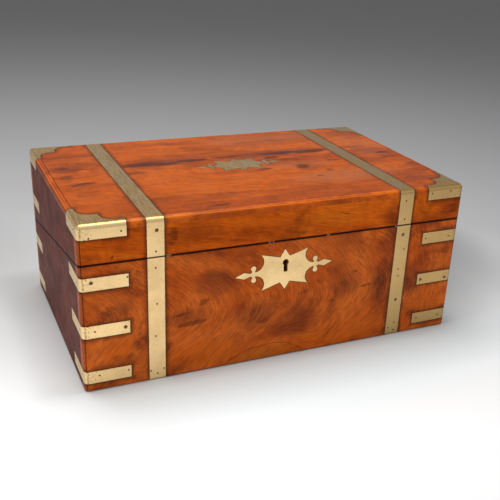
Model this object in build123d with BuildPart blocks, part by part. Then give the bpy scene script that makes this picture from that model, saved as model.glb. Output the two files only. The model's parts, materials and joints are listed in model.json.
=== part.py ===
from build123d import *
from math import atan2, cos, pi, sin, tan
import os

# Brass-bound writing slope, closed. X runs along the front, Y from the lock side to the hinges, Z up.
# The origin is the middle of the underside. All sizes are millimetres.

# Carcass
length = 406.0
depth = 252.0
height = 167.0
split_front = 128.5  # height of the slanting split at the lock side
split_gap = 0.8  # worn joint between the closed halves
edge_radius = 4.5  # upright and top edges
foot_radius = 2.2  # bottom edges
long_wall = 12.0  # front and back boards
end_wall = 10.0
bottom_thickness = 7.0
top_thickness = 7.0
edging_width = 5.0  # rounded strip round the veneered top
edging_groove = 0.4  # bevel that sets the strip off from the veneer

# Brass binding, let in flush
brass_thickness = 1.2
strap_width = 16.3
strap_inset = 61.9  # end of the box to the strap's outer edge
strap_foot = 0.4  # straps turn in at the foot and stop just short of the table
clip_reach = 44.5  # leg of a corner clip, along both faces
clip_height = 12.8
clip_foot = 8.4  # lowest clips above the table
clip_margin = 3.85  # top clips below the split, at the end of their leg
bracket_reach = 44.0  # three-way brackets on the lid's corners
bracket_flange = 14.0
bracket_arm = 6.5
bracket_cusp = 24.5
bracket_bite = 13.5  # radius of the two hollows between the cusp and the arms

# Star plates: a pierced one for the key and a plain one on the lid
plate_thickness = 1.4
star_tip = 21.8
star_notch = (5.2, 13.6)
star_horn = (25.5, 19.2)
star_waist = (22.4, 11.0)
star_neck = (31.0, 2.2)
finial_bar = 3.2
finial_stem = 0.8  # half height of the spearhead where it leaves the bar
finial_x = 33.5
finial_lobe = 2.7
finial_rise = 6.1
finial_start = 35.0
finial_belly = (43.4, 3.5)
finial_tip = 52.7
escutcheon_x = -2.2
escutcheon_z = 98.2
escutcheon_tilt = 2.0  # degrees, as fitted by hand
cartouche_x = -0.5
cartouche_y = 4.0
cartouche_share = 0.95  # the lid's plate is a little smaller
key_offset = 0.8
key_rise = 7.3
key_radius = 3.3
key_slot = 4.2
key_foot = -2.8

# Main hinges, two brass butts at the back
hinge_setback = 0.5  # pin centre outside the back face, so that the lid turns right over
hinge_spread = 160.0
hinge_length = 52.0
hinge_leaf_reach = 9.0
hinge_plate = 1.2
hinge_knuckle = 2.4
hinge_pin = 1.2
hinge_count = 5  # knuckles
knuckle_gap = 0.3
running_gap = 0.05  # pin in its bore
hinge_relief = 0.4  # room round a turning knuckle
screw_pitch = 18.0
screw_head = 2.2
screw_shank = 1.1
screw_length = 8.0

# Rails and writing flaps
rail_width = 28.0  # back face to the flap's hinge, along the slope
rail_thickness = 9.0
flap_thickness = 7.0
flap_side_gap = 0.5
flap_rest_gap = 0.3
flap_hinge_spread = 250.0
flap_hinge_length = 30.0
flap_hinge_leaf = 9.5
flap_hinge_plate = 0.8
flap_knuckle = 1.5
flap_pin = 0.75
flap_hinge_count = 3
knuckle_cover = 0.2  # top of the knuckle below the writing surface
leather_margin = 13.0
leather_thickness = 1.0
leather_corner = 5.0
ledge_width = 6.0
ledge_height = 8.0
thumb_radius = 9.0
thumb_depth = 6.0

# Flap catch, a brass bolt in the edge of the lid's flap
catch_width = 11.0
catch_length = 18.0
catch_plate = 1.6
catch_travel = 5.0
catch_peg = 1.6
catch_peg_inset = 8.0
catch_gap = 0.3

# Fittings under the lock
bay_depth = 42.0
partition = 5.0
inkwell_bay = 36.0
bay_floor_thickness = 5.0
bay_headroom = 2.0
inkwell_width = 32.0
inkwell_height = 30.0
inkwell_edge = 2.0
inkwell_floor = 6.0
neck_radius = 9.0
neck_bore = 6.5
neck_height = 6.0
cap_radius = 11.5
cap_height = 9.0
cap_dome = 2.0
cap_gap = 0.3
tray_gap = 0.5
tray_height = 15.0
tray_headroom = 2.5
tray_rim = 4.0
nib_length = 36.0
trough_depth = 10.0
trough_corner = 12.0
trough_sole = 8.0
bearer_width = 8.0

# Lock in the front board, and its link plate on the lid
lock_length = 52.0
lock_plate = 70.0
lock_plate_thickness = 1.6
lock_setback = 3.1  # wood left in front of the case
plate_setback = 2.1  # wood left in front of the plates
lock_foot = 92.0
lock_wall = 1.0
link_inset = 3.4  # lock's inner face to the middle of the links
link_spread = 26.0
link_width = 3.8
link_thickness = 2.4
link_drop = 11.0
link_eye = (2.2, 3.4)
link_eye_level = 7.5
bolt_thickness = 1.6
bolt_finger = 2.8
bolt_reach = 6.5
bolt_post = 3.0
bolt_bar = 3.0
bolt_bar_level = 14.5
bolt_gap = 0.5
shelf_gap = 0.3  # bolt to the shelf that it slides on
slot_gap = 0.5

# Derived places
split_back = height / 2  # hinges at half height, so that the open lid lies level on the table
slope = atan2(split_front - split_back, depth)
front = -depth / 2
back = depth / 2
inner_front = front + long_wall
inner_back = back - long_wall
inner_end = length / 2 - end_wall
top_seat = height - top_thickness
beyond = edge_radius  # cutting shapes reach this far outside the box


def split_height(y, above=0.0):
    """Height at a depth y of the plane that lies a distance above the base's slanting rim."""
    return split_back + (back - y) * tan(slope) + above / cos(slope)


def on_slope(along, above):
    """(y, z) of a point so far up the slope from the hinge side and so far above the rim."""
    y = back - along * cos(slope) + above * sin(slope)
    z = split_back + along * sin(slope) + above * cos(slope)
    return (y, z)


def along_at(y):
    """Distance up the slope from the hinge side at a depth y."""
    return (back - y) / cos(slope)


def base_section(y_low, y_high, foot, drop=0.0):
    """YZ outline under the slanting rim, or under a plane so far below it."""
    return [
        (y_low, foot),
        (y_high, foot),
        (y_high, split_height(y_high, -drop)),
        (y_low, split_height(y_low, -drop)),
    ]


def lid_section(y_low, y_high, top, rise=0.0):
    """YZ outline over the lid's slanting rim, or over a plane so far above it."""
    return [
        (y_low, split_height(y_low, split_gap + rise)),
        (y_high, split_height(y_high, split_gap + rise)),
        (y_high, top),
        (y_low, top),
    ]


def slope_section(along_low, along_high, low, high):
    """YZ rectangle square to the slope, from its reach up the slope and its height over the rim."""
    return [
        on_slope(along_low, low),
        on_slope(along_high, low),
        on_slope(along_high, high),
        on_slope(along_low, high),
    ]


def prism(outline, x_low, x_high):
    """A YZ outline carried along X."""
    with BuildPart() as solid:
        with BuildSketch(Plane.YZ.offset(x_low)):
            with BuildLine():
                Polyline(*outline, close=True)
            make_face()
        extrude(amount=x_high - x_low)
    return solid.part


def slab(x_low, x_high, y_low, y_high, z_low, z_high):
    """A square-edged block between its limits."""
    return prism([(y_low, z_low), (y_high, z_low), (y_high, z_high), (y_low, z_high)], x_low, x_high)


def slope_plane(x, along, above):
    """Plane on the slope: local x is +X, local y runs down towards the hinges, z stands square."""
    y, z = on_slope(along, above)
    return Plane(origin=(x, y, z), x_dir=(1, 0, 0), z_dir=(0, sin(slope), cos(slope)))


def slope_side_plane(x, along, above):
    """Plane across X: local x runs up the slope, local y stands square to it."""
    y, z = on_slope(along, above)
    return Plane(origin=(x, y, z), x_dir=(0, -cos(slope), sin(slope)), z_dir=(-1, 0, 0))


def slope_front_plane(x, along, above):
    """Upright plane along X, square to the slope: local x is +X, local y stands square to it."""
    y, z = on_slope(along, above)
    return Plane(origin=(x, y, z), x_dir=(1, 0, 0), z_dir=(0, -cos(slope), sin(slope)))


def save(node, name):
    node.part.label = name
    export_step(node.part, f"parts/{name}.step")


os.makedirs("parts", exist_ok=True)


# The closed box's outer form, and a brass skin of which every binding is cut
def rounded_block(inset):
    with BuildPart() as block:
        with BuildSketch(Plane.XY.offset(inset)):
            Rectangle(length - 2 * inset, depth - 2 * inset)
        extrude(amount=height - 2 * inset)
        upright = block.edges().filter_by(Axis.Z)
        crown = block.faces().sort_by(Axis.Z)[-1].edges()
        fillet(upright + crown, edge_radius - inset)
        fillet(block.faces().sort_by(Axis.Z)[0].edges(), foot_radius - inset)
    return block.part


outer_form = rounded_block(0.0)

with BuildPart() as brass_skin:
    add(outer_form)
    add(rounded_block(brass_thickness), mode=Mode.SUBTRACT)


# Straps
strap_x = length / 2 - strap_inset - strap_width / 2
lid_side = lid_section(front - beyond, back + beyond, height + beyond)
base_front_side = base_section(front - beyond, front + foot_radius, strap_foot)
base_back_side = base_section(back - foot_radius, back + beyond, strap_foot)


def strap(side, outline):
    """A strap on the left (-1) or right (+1), as far as a YZ outline lets it run."""
    with BuildPart() as band:
        add(prism(outline, side * strap_x - strap_width / 2, side * strap_x + strap_width / 2))
        add(brass_skin.part, mode=Mode.INTERSECT)
    return band.part


with BuildPart() as lid_strap_left:
    add(strap(-1, lid_side))
save(lid_strap_left, "lid_strap_left")

with BuildPart() as lid_strap_right:
    add(strap(1, lid_side))
save(lid_strap_right, "lid_strap_right")

with BuildPart() as base_front_straps:
    add(strap(-1, base_front_side))
    add(strap(1, base_front_side))
save(base_front_straps, "base_front_straps")

with BuildPart() as base_back_straps:
    add(strap(-1, base_back_side))
    add(strap(1, base_back_side))
save(base_back_straps, "base_back_straps")


# Corner clips: three at each corner, the upper pair at the back on the lid
upper_clip = split_height(front + clip_reach) - clip_margin - clip_height
middle_clip = (clip_foot + upper_clip) / 2


def corner_clip(side_x, side_y, foot):
    with BuildPart() as clip:
        with BuildSketch(Plane.XY.offset(foot)):
            with Locations((side_x * length / 2, side_y * depth / 2)):
                Rectangle(2 * clip_reach, 2 * clip_reach)
        extrude(amount=clip_height)
        add(brass_skin.part, mode=Mode.INTERSECT)
    return clip.part


with BuildPart() as base_clips_front_left:
    for foot in (clip_foot, middle_clip, upper_clip):
        add(corner_clip(-1, -1, foot))
save(base_clips_front_left, "base_clips_front_left")

with BuildPart() as base_clips_front_right:
    for foot in (clip_foot, middle_clip, upper_clip):
        add(corner_clip(1, -1, foot))
save(base_clips_front_right, "base_clips_front_right")

with BuildPart() as base_clips_back_left:
    for foot in (clip_foot, middle_clip):
        add(corner_clip(-1, 1, foot))
save(base_clips_back_left, "base_clips_back_left")

with BuildPart() as base_clips_back_right:
    for foot in (clip_foot, middle_clip):
        add(corner_clip(1, 1, foot))
save(base_clips_back_right, "base_clips_back_right")

with BuildPart() as lid_clips_back:
    for side in (-1, 1):
        add(corner_clip(side, 1, upper_clip))
save(lid_clips_back, "lid_clips_back")


# Three-way brackets: two flanges and a top plate with a cusp between two hollows
def corner_bracket(side_x, side_y):
    hollow = bracket_bite * (1 - cos(pi / 4))  # how far a hollow's middle lies from its square corner
    with BuildPart() as bracket:
        with BuildSketch(Plane.XY.offset(height - bracket_flange)):
            Rectangle(bracket_reach, edge_radius, align=(Align.MIN, Align.MIN))
            Rectangle(edge_radius, bracket_reach, align=(Align.MIN, Align.MIN))
        extrude(amount=bracket_flange)
        with BuildSketch(Plane.XY.offset(height - edge_radius)):
            with BuildLine():
                Polyline(
                    (bracket_arm, bracket_cusp + bracket_bite),
                    (bracket_arm, bracket_reach),
                    (0, bracket_reach),
                    (0, 0),
                    (bracket_reach, 0),
                    (bracket_reach, bracket_arm),
                    (bracket_cusp + bracket_bite, bracket_arm),
                )
                ThreePointArc(
                    (bracket_cusp + bracket_bite, bracket_arm),
                    (bracket_cusp + hollow, bracket_arm + hollow),
                    (bracket_cusp, bracket_arm + bracket_bite),
                )
                Polyline(
                    (bracket_cusp, bracket_arm + bracket_bite),
                    (bracket_cusp, bracket_cusp),
                    (bracket_arm + bracket_bite, bracket_cusp),
                )
                ThreePointArc(
                    (bracket_arm + bracket_bite, bracket_cusp),
                    (bracket_arm + hollow, bracket_cusp + hollow),
                    (bracket_arm, bracket_cusp + bracket_bite),
                )
            make_face()
        extrude(amount=edge_radius)
    placed = bracket.part.moved(Location((-length / 2, -depth / 2, 0)))
    if side_x > 0:
        placed = placed.mirror(Plane.YZ)
    if side_y > 0:
        placed = placed.mirror(Plane.XZ)
    return placed


with BuildPart() as lid_bracket_front_left:
    add(corner_bracket(-1, -1))
    add(brass_skin.part, mode=Mode.INTERSECT)
save(lid_bracket_front_left, "lid_bracket_front_left")

with BuildPart() as lid_bracket_front_right:
    add(corner_bracket(1, -1))
    add(brass_skin.part, mode=Mode.INTERSECT)
save(lid_bracket_front_right, "lid_bracket_front_right")

with BuildPart() as lid_bracket_back_left:
    add(corner_bracket(-1, 1))
    add(brass_skin.part, mode=Mode.INTERSECT)
save(lid_bracket_back_left, "lid_bracket_back_left")

with BuildPart() as lid_bracket_back_right:
    add(corner_bracket(1, 1))
    add(brass_skin.part, mode=Mode.INTERSECT)
save(lid_bracket_back_right, "lid_bracket_back_right")


# Star plates, each half a horned star, a crossbar with lobes and a spearhead
with BuildSketch() as star_outline:
    with BuildLine():
        Polyline((0, 0), (0, star_tip), star_notch, star_horn)
        ThreePointArc(star_horn, star_waist, star_neck)
        Polyline(star_neck, (star_neck[0], 0), (0, 0))
    make_face()
    with Locations((finial_x, 0)):
        Rectangle(finial_bar, 2 * finial_rise)
    with Locations((finial_x, finial_rise)):
        Circle(finial_lobe)
    with Locations(((star_neck[0] + finial_start) / 2, 0)):
        Rectangle(finial_start - star_neck[0] + finial_bar, 2 * star_neck[1])
    with BuildLine():
        Polyline((finial_start, 0), (finial_start, finial_stem), finial_belly)
        Line(finial_belly, (finial_tip, 0))
        Line((finial_tip, 0), (finial_start, 0))
    make_face()
    mirror(about=Plane.XZ)
    mirror(about=Plane.YZ)

with BuildSketch() as keyhole:
    with Locations((key_offset, key_rise)):
        Circle(key_radius)
    with Locations((key_offset, (key_rise + key_foot) / 2)):
        Rectangle(key_slot, key_rise - key_foot)

escutcheon_face = Plane(
    origin=(escutcheon_x, front, escutcheon_z),
    x_dir=Vector(1, 0, 0).rotate(Axis.Y, -escutcheon_tilt),
    z_dir=(0, -1, 0),
)

with BuildPart() as escutcheon:
    with BuildSketch(escutcheon_face):
        add(star_outline.sketch)
        add(keyhole.sketch, mode=Mode.SUBTRACT)
    extrude(amount=-plate_thickness)
save(escutcheon, "escutcheon")

with BuildPart() as lid_cartouche:
    with BuildSketch(Plane(origin=(cartouche_x, cartouche_y, height))):
        add(scale(star_outline.sketch, by=cartouche_share))
    extrude(amount=-plate_thickness)
save(lid_cartouche, "lid_cartouche")

with BuildPart() as key_passage:
    with BuildSketch(escutcheon_face):
        add(keyhole.sketch)
    extrude(amount=-(lock_setback + lock_wall + bolt_gap))


# Butt hinges, drawn round the pin: local x runs up the slope and local y stands square to it
def knuckle_spans(total, count):
    """Start and end along X of each knuckle of a hinge, with a small gap between neighbours."""
    pitch = (total + knuckle_gap) / count
    return [(k * pitch - total / 2, (k + 1) * pitch - knuckle_gap - total / 2) for k in range(count)]


def hinge_leaf(plane, side, plate, reach, radius, total, spans):
    """One leaf, running up (+1) or down (-1) the slope from the pin at the plane's origin.

    plate is where the plate lies square to the slope, and spans are its knuckles along X.
    """
    low, high = plate
    root = radius + knuckle_gap
    neck = radius / 3  # the plate runs on into each knuckle as far as this from the pin's centre
    with BuildPart() as leaf:
        with BuildSketch(plane):
            with Locations((side * (root + reach) / 2, (low + high) / 2)):
                Rectangle(reach - root, high - low)
        extrude(amount=total / 2, both=True)
        for start, end in spans:
            with BuildSketch(plane.offset(start)):
                Circle(radius)
                with Locations((side * (root + neck) / 2, (low + high) / 2)):
                    Rectangle(root - neck, high - low)
            extrude(amount=end - start)
    return leaf.part


def hinge_rod(plane, radius, total):
    """A round rod along the hinge line: a pin, its bore or the room round the knuckles."""
    with BuildPart() as rod:
        with BuildSketch(plane):
            Circle(radius)
        extrude(amount=total / 2, both=True)
    return rod.part


pin_along = -hinge_setback / cos(slope)
pin_above = split_gap / 2
main_hinge_planes = [slope_side_plane(side * hinge_spread / 2, pin_along, pin_above) for side in (-1, 1)]
main_spans = knuckle_spans(hinge_length, hinge_count)
screw_along = pin_along + (hinge_knuckle + knuckle_gap + hinge_leaf_reach) / 2

with BuildPart() as screw:
    with BuildSketch(Plane.XZ):
        with BuildLine():
            Polyline(
                (0, 0),
                (screw_head, 0),
                (screw_shank, screw_shank - screw_head),
                (screw_shank, screw_shank - screw_length),
                (0, -screw_length),
                close=True,
            )
        make_face()
    revolve(axis=Axis.Z)


def screw_row(centre_x, plane_of):
    """Three screws on a leaf: plane_of gives the plane under the head at a place along X."""
    return [screw.part.moved(plane_of(centre_x + k * screw_pitch).location) for k in (-1, 0, 1)]


def base_screw_plane(x):
    return slope_plane(x, screw_along, 0)


def downward_plane(x, along):
    """Plane on the lid's rim that faces the base."""
    y, z = on_slope(along, split_gap)
    return Plane(origin=(x, y, z), x_dir=(1, 0, 0), z_dir=(0, -sin(slope), -cos(slope)))


def lid_screw_plane(x):
    return downward_plane(x, screw_along)


lock_x = escutcheon_x + key_offset
link_y = inner_front - link_inset
link_along = along_at(link_y)
selvedge_middle = (lock_length + lock_plate) / 4  # half way along the plate's ends, past the case
plate_screw_places = [lock_x - selvedge_middle, lock_x + selvedge_middle]

with BuildPart() as base_screws:
    for side in (-1, 1):
        add(screw_row(side * hinge_spread / 2, base_screw_plane))
    for x in plate_screw_places:
        add(screw.part.moved(slope_plane(x, link_along, 0).location))
save(base_screws, "base_screws")

with BuildPart() as lid_screws:
    for side in (-1, 1):
        add(screw_row(side * hinge_spread / 2, lid_screw_plane))
    for x in plate_screw_places:
        add(screw.part.moved(downward_plane(x, link_along).location))
save(lid_screws, "lid_screws")

with BuildPart() as main_hinge_base_leaves:
    for plane in main_hinge_planes:
        plate = (-pin_above - hinge_plate, -pin_above)
        add(hinge_leaf(plane, 1, plate, hinge_leaf_reach, hinge_knuckle, hinge_length, main_spans[0::2]))
        add(hinge_rod(plane, hinge_pin, hinge_length), mode=Mode.SUBTRACT)
    add(base_screws.part, mode=Mode.SUBTRACT)
save(main_hinge_base_leaves, "main_hinge_base_leaves")

with BuildPart() as main_hinge_lid_leaves:
    for plane in main_hinge_planes:
        plate = (pin_above, pin_above + hinge_plate)
        add(hinge_leaf(plane, 1, plate, hinge_leaf_reach, hinge_knuckle, hinge_length, main_spans[1::2]))
        add(hinge_rod(plane, hinge_pin + running_gap, hinge_length), mode=Mode.SUBTRACT)
    add(lid_screws.part, mode=Mode.SUBTRACT)
save(main_hinge_lid_leaves, "main_hinge_lid_leaves")

with BuildPart() as main_hinge_pins:
    for plane in main_hinge_planes:
        add(hinge_rod(plane, hinge_pin, hinge_length))
save(main_hinge_pins, "main_hinge_pins")

with BuildPart() as hinge_rooms:
    for plane in main_hinge_planes:
        add(hinge_rod(plane, hinge_knuckle + hinge_relief, hinge_length + 2 * hinge_relief))


# Small hinges of the writing flaps: the rail's outer knuckles carry the pin
flap_pin_along = rail_width + flap_knuckle + hinge_relief
flap_pin_drop = flap_knuckle + knuckle_cover
flap_start = flap_pin_along + flap_knuckle + hinge_relief
flap_spans = knuckle_spans(flap_hinge_length, flap_hinge_count)


def flap_hinge_planes(above):
    return [slope_side_plane(side * flap_hinge_spread / 2, flap_pin_along, above) for side in (-1, 1)]


base_flap_planes = flap_hinge_planes(-flap_pin_drop)
lid_flap_planes = flap_hinge_planes(split_gap + flap_pin_drop)
base_flap_plate = (flap_pin_drop - flap_hinge_plate, flap_pin_drop)
lid_flap_plate = (-flap_pin_drop, flap_hinge_plate - flap_pin_drop)


def rail_leaf(plane, plate):
    with BuildPart() as leaf:
        add(
            hinge_leaf(
                plane, -1, plate, flap_hinge_leaf, flap_knuckle, flap_hinge_length, flap_spans[0::2]
            )
        )
        add(hinge_rod(plane, flap_pin, flap_hinge_length))
    return leaf.part


def flap_leaf(plane, plate):
    with BuildPart() as leaf:
        add(
            hinge_leaf(
                plane, 1, plate, flap_hinge_leaf, flap_knuckle, flap_hinge_length, flap_spans[1::2]
            )
        )
        add(hinge_rod(plane, flap_pin + running_gap, flap_hinge_length), mode=Mode.SUBTRACT)
    return leaf.part


with BuildPart() as base_rail_leaves:
    for plane in base_flap_planes:
        add(rail_leaf(plane, base_flap_plate))
save(base_rail_leaves, "base_rail_leaves")

with BuildPart() as base_flap_leaves:
    for plane in base_flap_planes:
        add(flap_leaf(plane, base_flap_plate))
save(base_flap_leaves, "base_flap_leaves")

with BuildPart() as lid_rail_leaves:
    for plane in lid_flap_planes:
        add(rail_leaf(plane, lid_flap_plate))
save(lid_rail_leaves, "lid_rail_leaves")

with BuildPart() as lid_flap_leaves:
    for plane in lid_flap_planes:
        add(flap_leaf(plane, lid_flap_plate))
save(lid_flap_leaves, "lid_flap_leaves")


# Box lock: a case let into the front board, a bolt that slides along X, and the lid's link plate
case_front = front + lock_setback
plate_front = front + plate_setback
link_places = [lock_x + side * link_spread / 2 for side in (-1, 1)]

with BuildPart() as lock_outside:
    case_outline = base_section(case_front, inner_front, lock_foot)
    plate_outline = [
        (plate_front, split_height(plate_front, -lock_plate_thickness)),
        (inner_front, split_height(inner_front, -lock_plate_thickness)),
        (inner_front, split_height(inner_front)),
        (plate_front, split_height(plate_front)),
    ]
    add(prism(case_outline, lock_x - lock_length / 2, lock_x + lock_length / 2))
    add(prism(plate_outline, lock_x - lock_plate / 2, lock_x + lock_plate / 2))

with BuildPart() as lock_case:
    add(lock_outside.part)
    cavity = base_section(
        case_front + lock_wall, inner_front - lock_wall, lock_foot + lock_wall, lock_plate_thickness
    )
    cavity_half = lock_length / 2 - lock_wall
    add(prism(cavity, lock_x - cavity_half, lock_x + cavity_half), mode=Mode.SUBTRACT)
    shelf_drop = bolt_bar_level + bolt_bar / 2 + shelf_gap
    shelf_front = case_front + lock_wall / 2
    shelf_back = inner_front - lock_wall / 2
    shelf_half = cavity_half + lock_wall / 2
    shelf = [
        (shelf_front, split_height(shelf_front, -shelf_drop - lock_wall)),
        (shelf_back, split_height(shelf_back, -shelf_drop - lock_wall)),
        (shelf_back, split_height(shelf_back, -shelf_drop)),
        (shelf_front, split_height(shelf_front, -shelf_drop)),
    ]
    add(prism(shelf, lock_x - shelf_half, lock_x + shelf_half))
    for x in link_places:
        with BuildSketch(slope_plane(x, link_along, 0)):
            Rectangle(link_thickness + 2 * slot_gap, link_width + 2 * slot_gap)
        extrude(amount=-lock_plate_thickness, mode=Mode.SUBTRACT)
    add(key_passage.part, mode=Mode.SUBTRACT)
    add(base_screws.part, mode=Mode.SUBTRACT)
save(lock_case, "lock_case")

bolt_tips = [x - lock_x - link_thickness / 2 - bolt_gap for x in link_places]

with BuildPart() as lock_bolt:
    with BuildSketch(slope_front_plane(lock_x, link_along, 0)):
        bar_start = bolt_tips[0] - bolt_reach - bolt_post
        bar_end = bolt_tips[1] + bolt_post
        with Locations(((bar_start + bar_end) / 2, -bolt_bar_level)):
            Rectangle(bar_end - bar_start, bolt_bar)
        for tip in bolt_tips:
            with Locations((tip - bolt_reach / 2, -link_eye_level)):
                Rectangle(bolt_reach, bolt_finger)
            post = bolt_bar_level - link_eye_level + bolt_finger / 2
            with Locations((tip - bolt_reach - bolt_post / 2, -bolt_bar_level)):
                Rectangle(bolt_post, post, align=(Align.CENTER, Align.MIN))
    extrude(amount=bolt_thickness / 2, both=True)
save(lock_bolt, "lock_bolt")

with BuildPart() as link_plate_body:
    add(
        prism(
            [
                (plate_front, split_height(plate_front, split_gap)),
                (inner_front, split_height(inner_front, split_gap)),
                (inner_front, split_height(inner_front, split_gap + lock_plate_thickness)),
                (plate_front, split_height(plate_front, split_gap + lock_plate_thickness)),
            ],
            lock_x - lock_plate / 2,
            lock_x + lock_plate / 2,
        )
    )

with BuildPart() as lock_link_plate:
    add(link_plate_body.part)
    for x in link_places:
        with BuildSketch(slope_side_plane(x, link_along, 0)):
            with Locations((0, -link_drop)):
                Rectangle(
                    link_width,
                    link_drop + split_gap + lock_plate_thickness / 2,
                    align=(Align.CENTER, Align.MIN),
                )
            with Locations((0, -link_eye_level)):
                Rectangle(*link_eye, mode=Mode.SUBTRACT)
        extrude(amount=link_thickness / 2, both=True)
    add(lid_screws.part, mode=Mode.SUBTRACT)
save(lock_link_plate, "lock_link_plate")


# Rails beside the hinges, which the flaps turn on
def rail_outline(surface, sign):
    """YZ outline of a rail against the inside of a back board, thickness away from the rim."""
    far = surface + sign * rail_thickness
    return [
        (inner_back, split_height(inner_back, surface)),
        (inner_back, split_height(inner_back, far)),
        on_slope(rail_width, far),
        on_slope(rail_width, surface),
    ]


with BuildPart() as base_centre_rail:
    add(prism(rail_outline(0, -1), -inner_end, inner_end))
    add(base_rail_leaves.part, mode=Mode.SUBTRACT)
save(base_centre_rail, "base_centre_rail")

with BuildPart() as lid_centre_rail:
    add(prism(rail_outline(split_gap, 1), -inner_end, inner_end))
    add(lid_rail_leaves.part, mode=Mode.SUBTRACT)
save(lid_centre_rail, "lid_centre_rail")


# Writing flaps: a board with a leather panel, hinged near the box's own hinges
flap_half = inner_end - flap_side_gap
bay_back = inner_front + bay_depth
base_flap_end = along_at(bay_back + flap_side_gap) - flap_thickness * tan(slope)
lid_flap_end = along_at(inner_front) - flap_side_gap


def leather_panel(start, end, above, sign):
    """A panel with rounded corners, let into the flap from the height above, inwards by sign."""
    middle = (start + end) / 2
    with BuildPart() as panel:
        with BuildSketch(slope_plane(0, middle, above)):
            RectangleRounded(
                2 * (flap_half - leather_margin), end - start - 2 * leather_margin, leather_corner
            )
        extrude(amount=sign * leather_thickness)
    return panel.part


def thumb_notch(end, above, sign):
    """A shallow hollow in a flap's free edge, to lift it by."""
    with BuildPart() as notch:
        with BuildSketch(slope_plane(0, end + thumb_radius - thumb_depth, above)):
            Circle(thumb_radius)
        extrude(amount=sign * flap_thickness)
    return notch.part


with BuildPart() as base_flap_leather:
    add(leather_panel(flap_start, base_flap_end, 0, -1))
save(base_flap_leather, "base_flap_leather")

with BuildPart() as base_flap_board:
    add(prism(slope_section(flap_start, base_flap_end, -flap_thickness, 0), -flap_half, flap_half))
    add(base_flap_leather.part, mode=Mode.SUBTRACT)
    add(base_flap_leaves.part, mode=Mode.SUBTRACT)
    add(thumb_notch(base_flap_end, 0, -1), mode=Mode.SUBTRACT)
save(base_flap_board, "base_flap_board")

catch_level = split_gap + flap_thickness / 2
catch_tip = lid_flap_end - catch_gap
peg_along = catch_tip - catch_peg_inset

with BuildPart() as lid_flap_catch:
    add(
        prism(
            slope_section(
                catch_tip - catch_length,
                catch_tip,
                catch_level - catch_plate / 2,
                catch_level + catch_plate / 2,
            ),
            -catch_width / 2,
            catch_width / 2,
        )
    )
    with BuildSketch(slope_plane(0, peg_along, split_gap + catch_gap)):
        Circle(catch_peg)
    extrude(amount=catch_level - split_gap - catch_gap)
save(lid_flap_catch, "lid_flap_catch")

with BuildPart() as catch_room:
    room_height = catch_plate + 2 * catch_gap
    room_half = catch_width / 2 + catch_gap
    room_outline = slope_section(
        catch_tip - catch_length - catch_gap,
        catch_tip + catch_travel + catch_gap,
        catch_level - room_height / 2,
        catch_level + room_height / 2,
    )
    add(prism(room_outline, -room_half, room_half))

with BuildPart() as catch_slot:
    with BuildSketch(slope_plane(0, peg_along + catch_travel / 2, split_gap)):
        SlotOverall(
            catch_travel + 2 * catch_peg + 2 * catch_gap, 2 * catch_peg + 2 * catch_gap, rotation=90
        )
    extrude(amount=flap_thickness / 2)

with BuildPart() as lid_flap_leather:
    add(leather_panel(flap_start, lid_flap_end, split_gap, 1))
save(lid_flap_leather, "lid_flap_leather")

with BuildPart() as lid_flap_board:
    lid_flap_outline = slope_section(
        flap_start, lid_flap_end, split_gap, split_gap + flap_thickness
    )
    add(prism(lid_flap_outline, -flap_half, flap_half))
    add(lid_flap_leather.part, mode=Mode.SUBTRACT)
    add(lid_flap_leaves.part, mode=Mode.SUBTRACT)
    add(catch_room.part, mode=Mode.SUBTRACT)
    add(catch_slot.part, mode=Mode.SUBTRACT)
save(lid_flap_board, "lid_flap_board")


# Ledges on the ends, which the flaps lie on
def ledge_outline(y_edge, near, far):
    return [
        (y_edge, split_height(y_edge, far)),
        on_slope(rail_width, far),
        on_slope(rail_width, near),
        (y_edge, split_height(y_edge, near)),
    ]


flap_seat = flap_thickness + flap_rest_gap
base_ledge = ledge_outline(bay_back + partition, -flap_seat, -flap_seat - ledge_height)
lid_ledge = ledge_outline(
    inner_front, split_gap + flap_seat, split_gap + flap_seat + ledge_height
)

with BuildPart() as base_flap_ledges:
    add(prism(base_ledge, -inner_end, ledge_width - inner_end))
    add(prism(base_ledge, inner_end - ledge_width, inner_end))
save(base_flap_ledges, "base_flap_ledges")

with BuildPart() as lid_flap_ledges:
    add(prism(lid_ledge, -inner_end, ledge_width - inner_end))
    add(prism(lid_ledge, inner_end - ledge_width, inner_end))
save(lid_flap_ledges, "lid_flap_ledges")


# Bays under the lock: an inkwell at each end and the pen tray between them
bay_middle = (inner_front + bay_back) / 2
inkwell_x = inner_end - inkwell_bay / 2
cross_x = inner_end - inkwell_bay
tray_end = cross_x - partition - tray_gap
inkwell_top = split_height(bay_middle + cap_radius) - bay_headroom - cap_height - cap_gap
bay_floor_top = inkwell_top - inkwell_height
tray_top = split_height(bay_back) - tray_headroom
tray_bottom = tray_top - tray_height

with BuildPart() as long_partition:
    add(
        prism(
            base_section(bay_back, bay_back + partition, bottom_thickness, flap_seat),
            -inner_end,
            inner_end,
        )
    )
save(long_partition, "long_partition")

with BuildPart() as bay_floor:
    add(
        slab(
            -inner_end,
            inner_end,
            inner_front,
            bay_back,
            bay_floor_top - bay_floor_thickness,
            bay_floor_top,
        )
    )
save(bay_floor, "bay_floor")

cross_outline = base_section(inner_front, bay_back, bay_floor_top, bay_headroom)

with BuildPart() as cross_partitions:
    add(prism(cross_outline, -cross_x, partition - cross_x))
    add(prism(cross_outline, cross_x - partition, cross_x))
save(cross_partitions, "cross_partitions")

with BuildPart() as tray_bearers:
    for low, high in (
        (partition - cross_x, partition - cross_x + bearer_width),
        (cross_x - partition - bearer_width, cross_x - partition),
    ):
        add(slab(low, high, inner_front, bay_back, bay_floor_top, tray_bottom))
save(tray_bearers, "tray_bearers")


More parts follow.
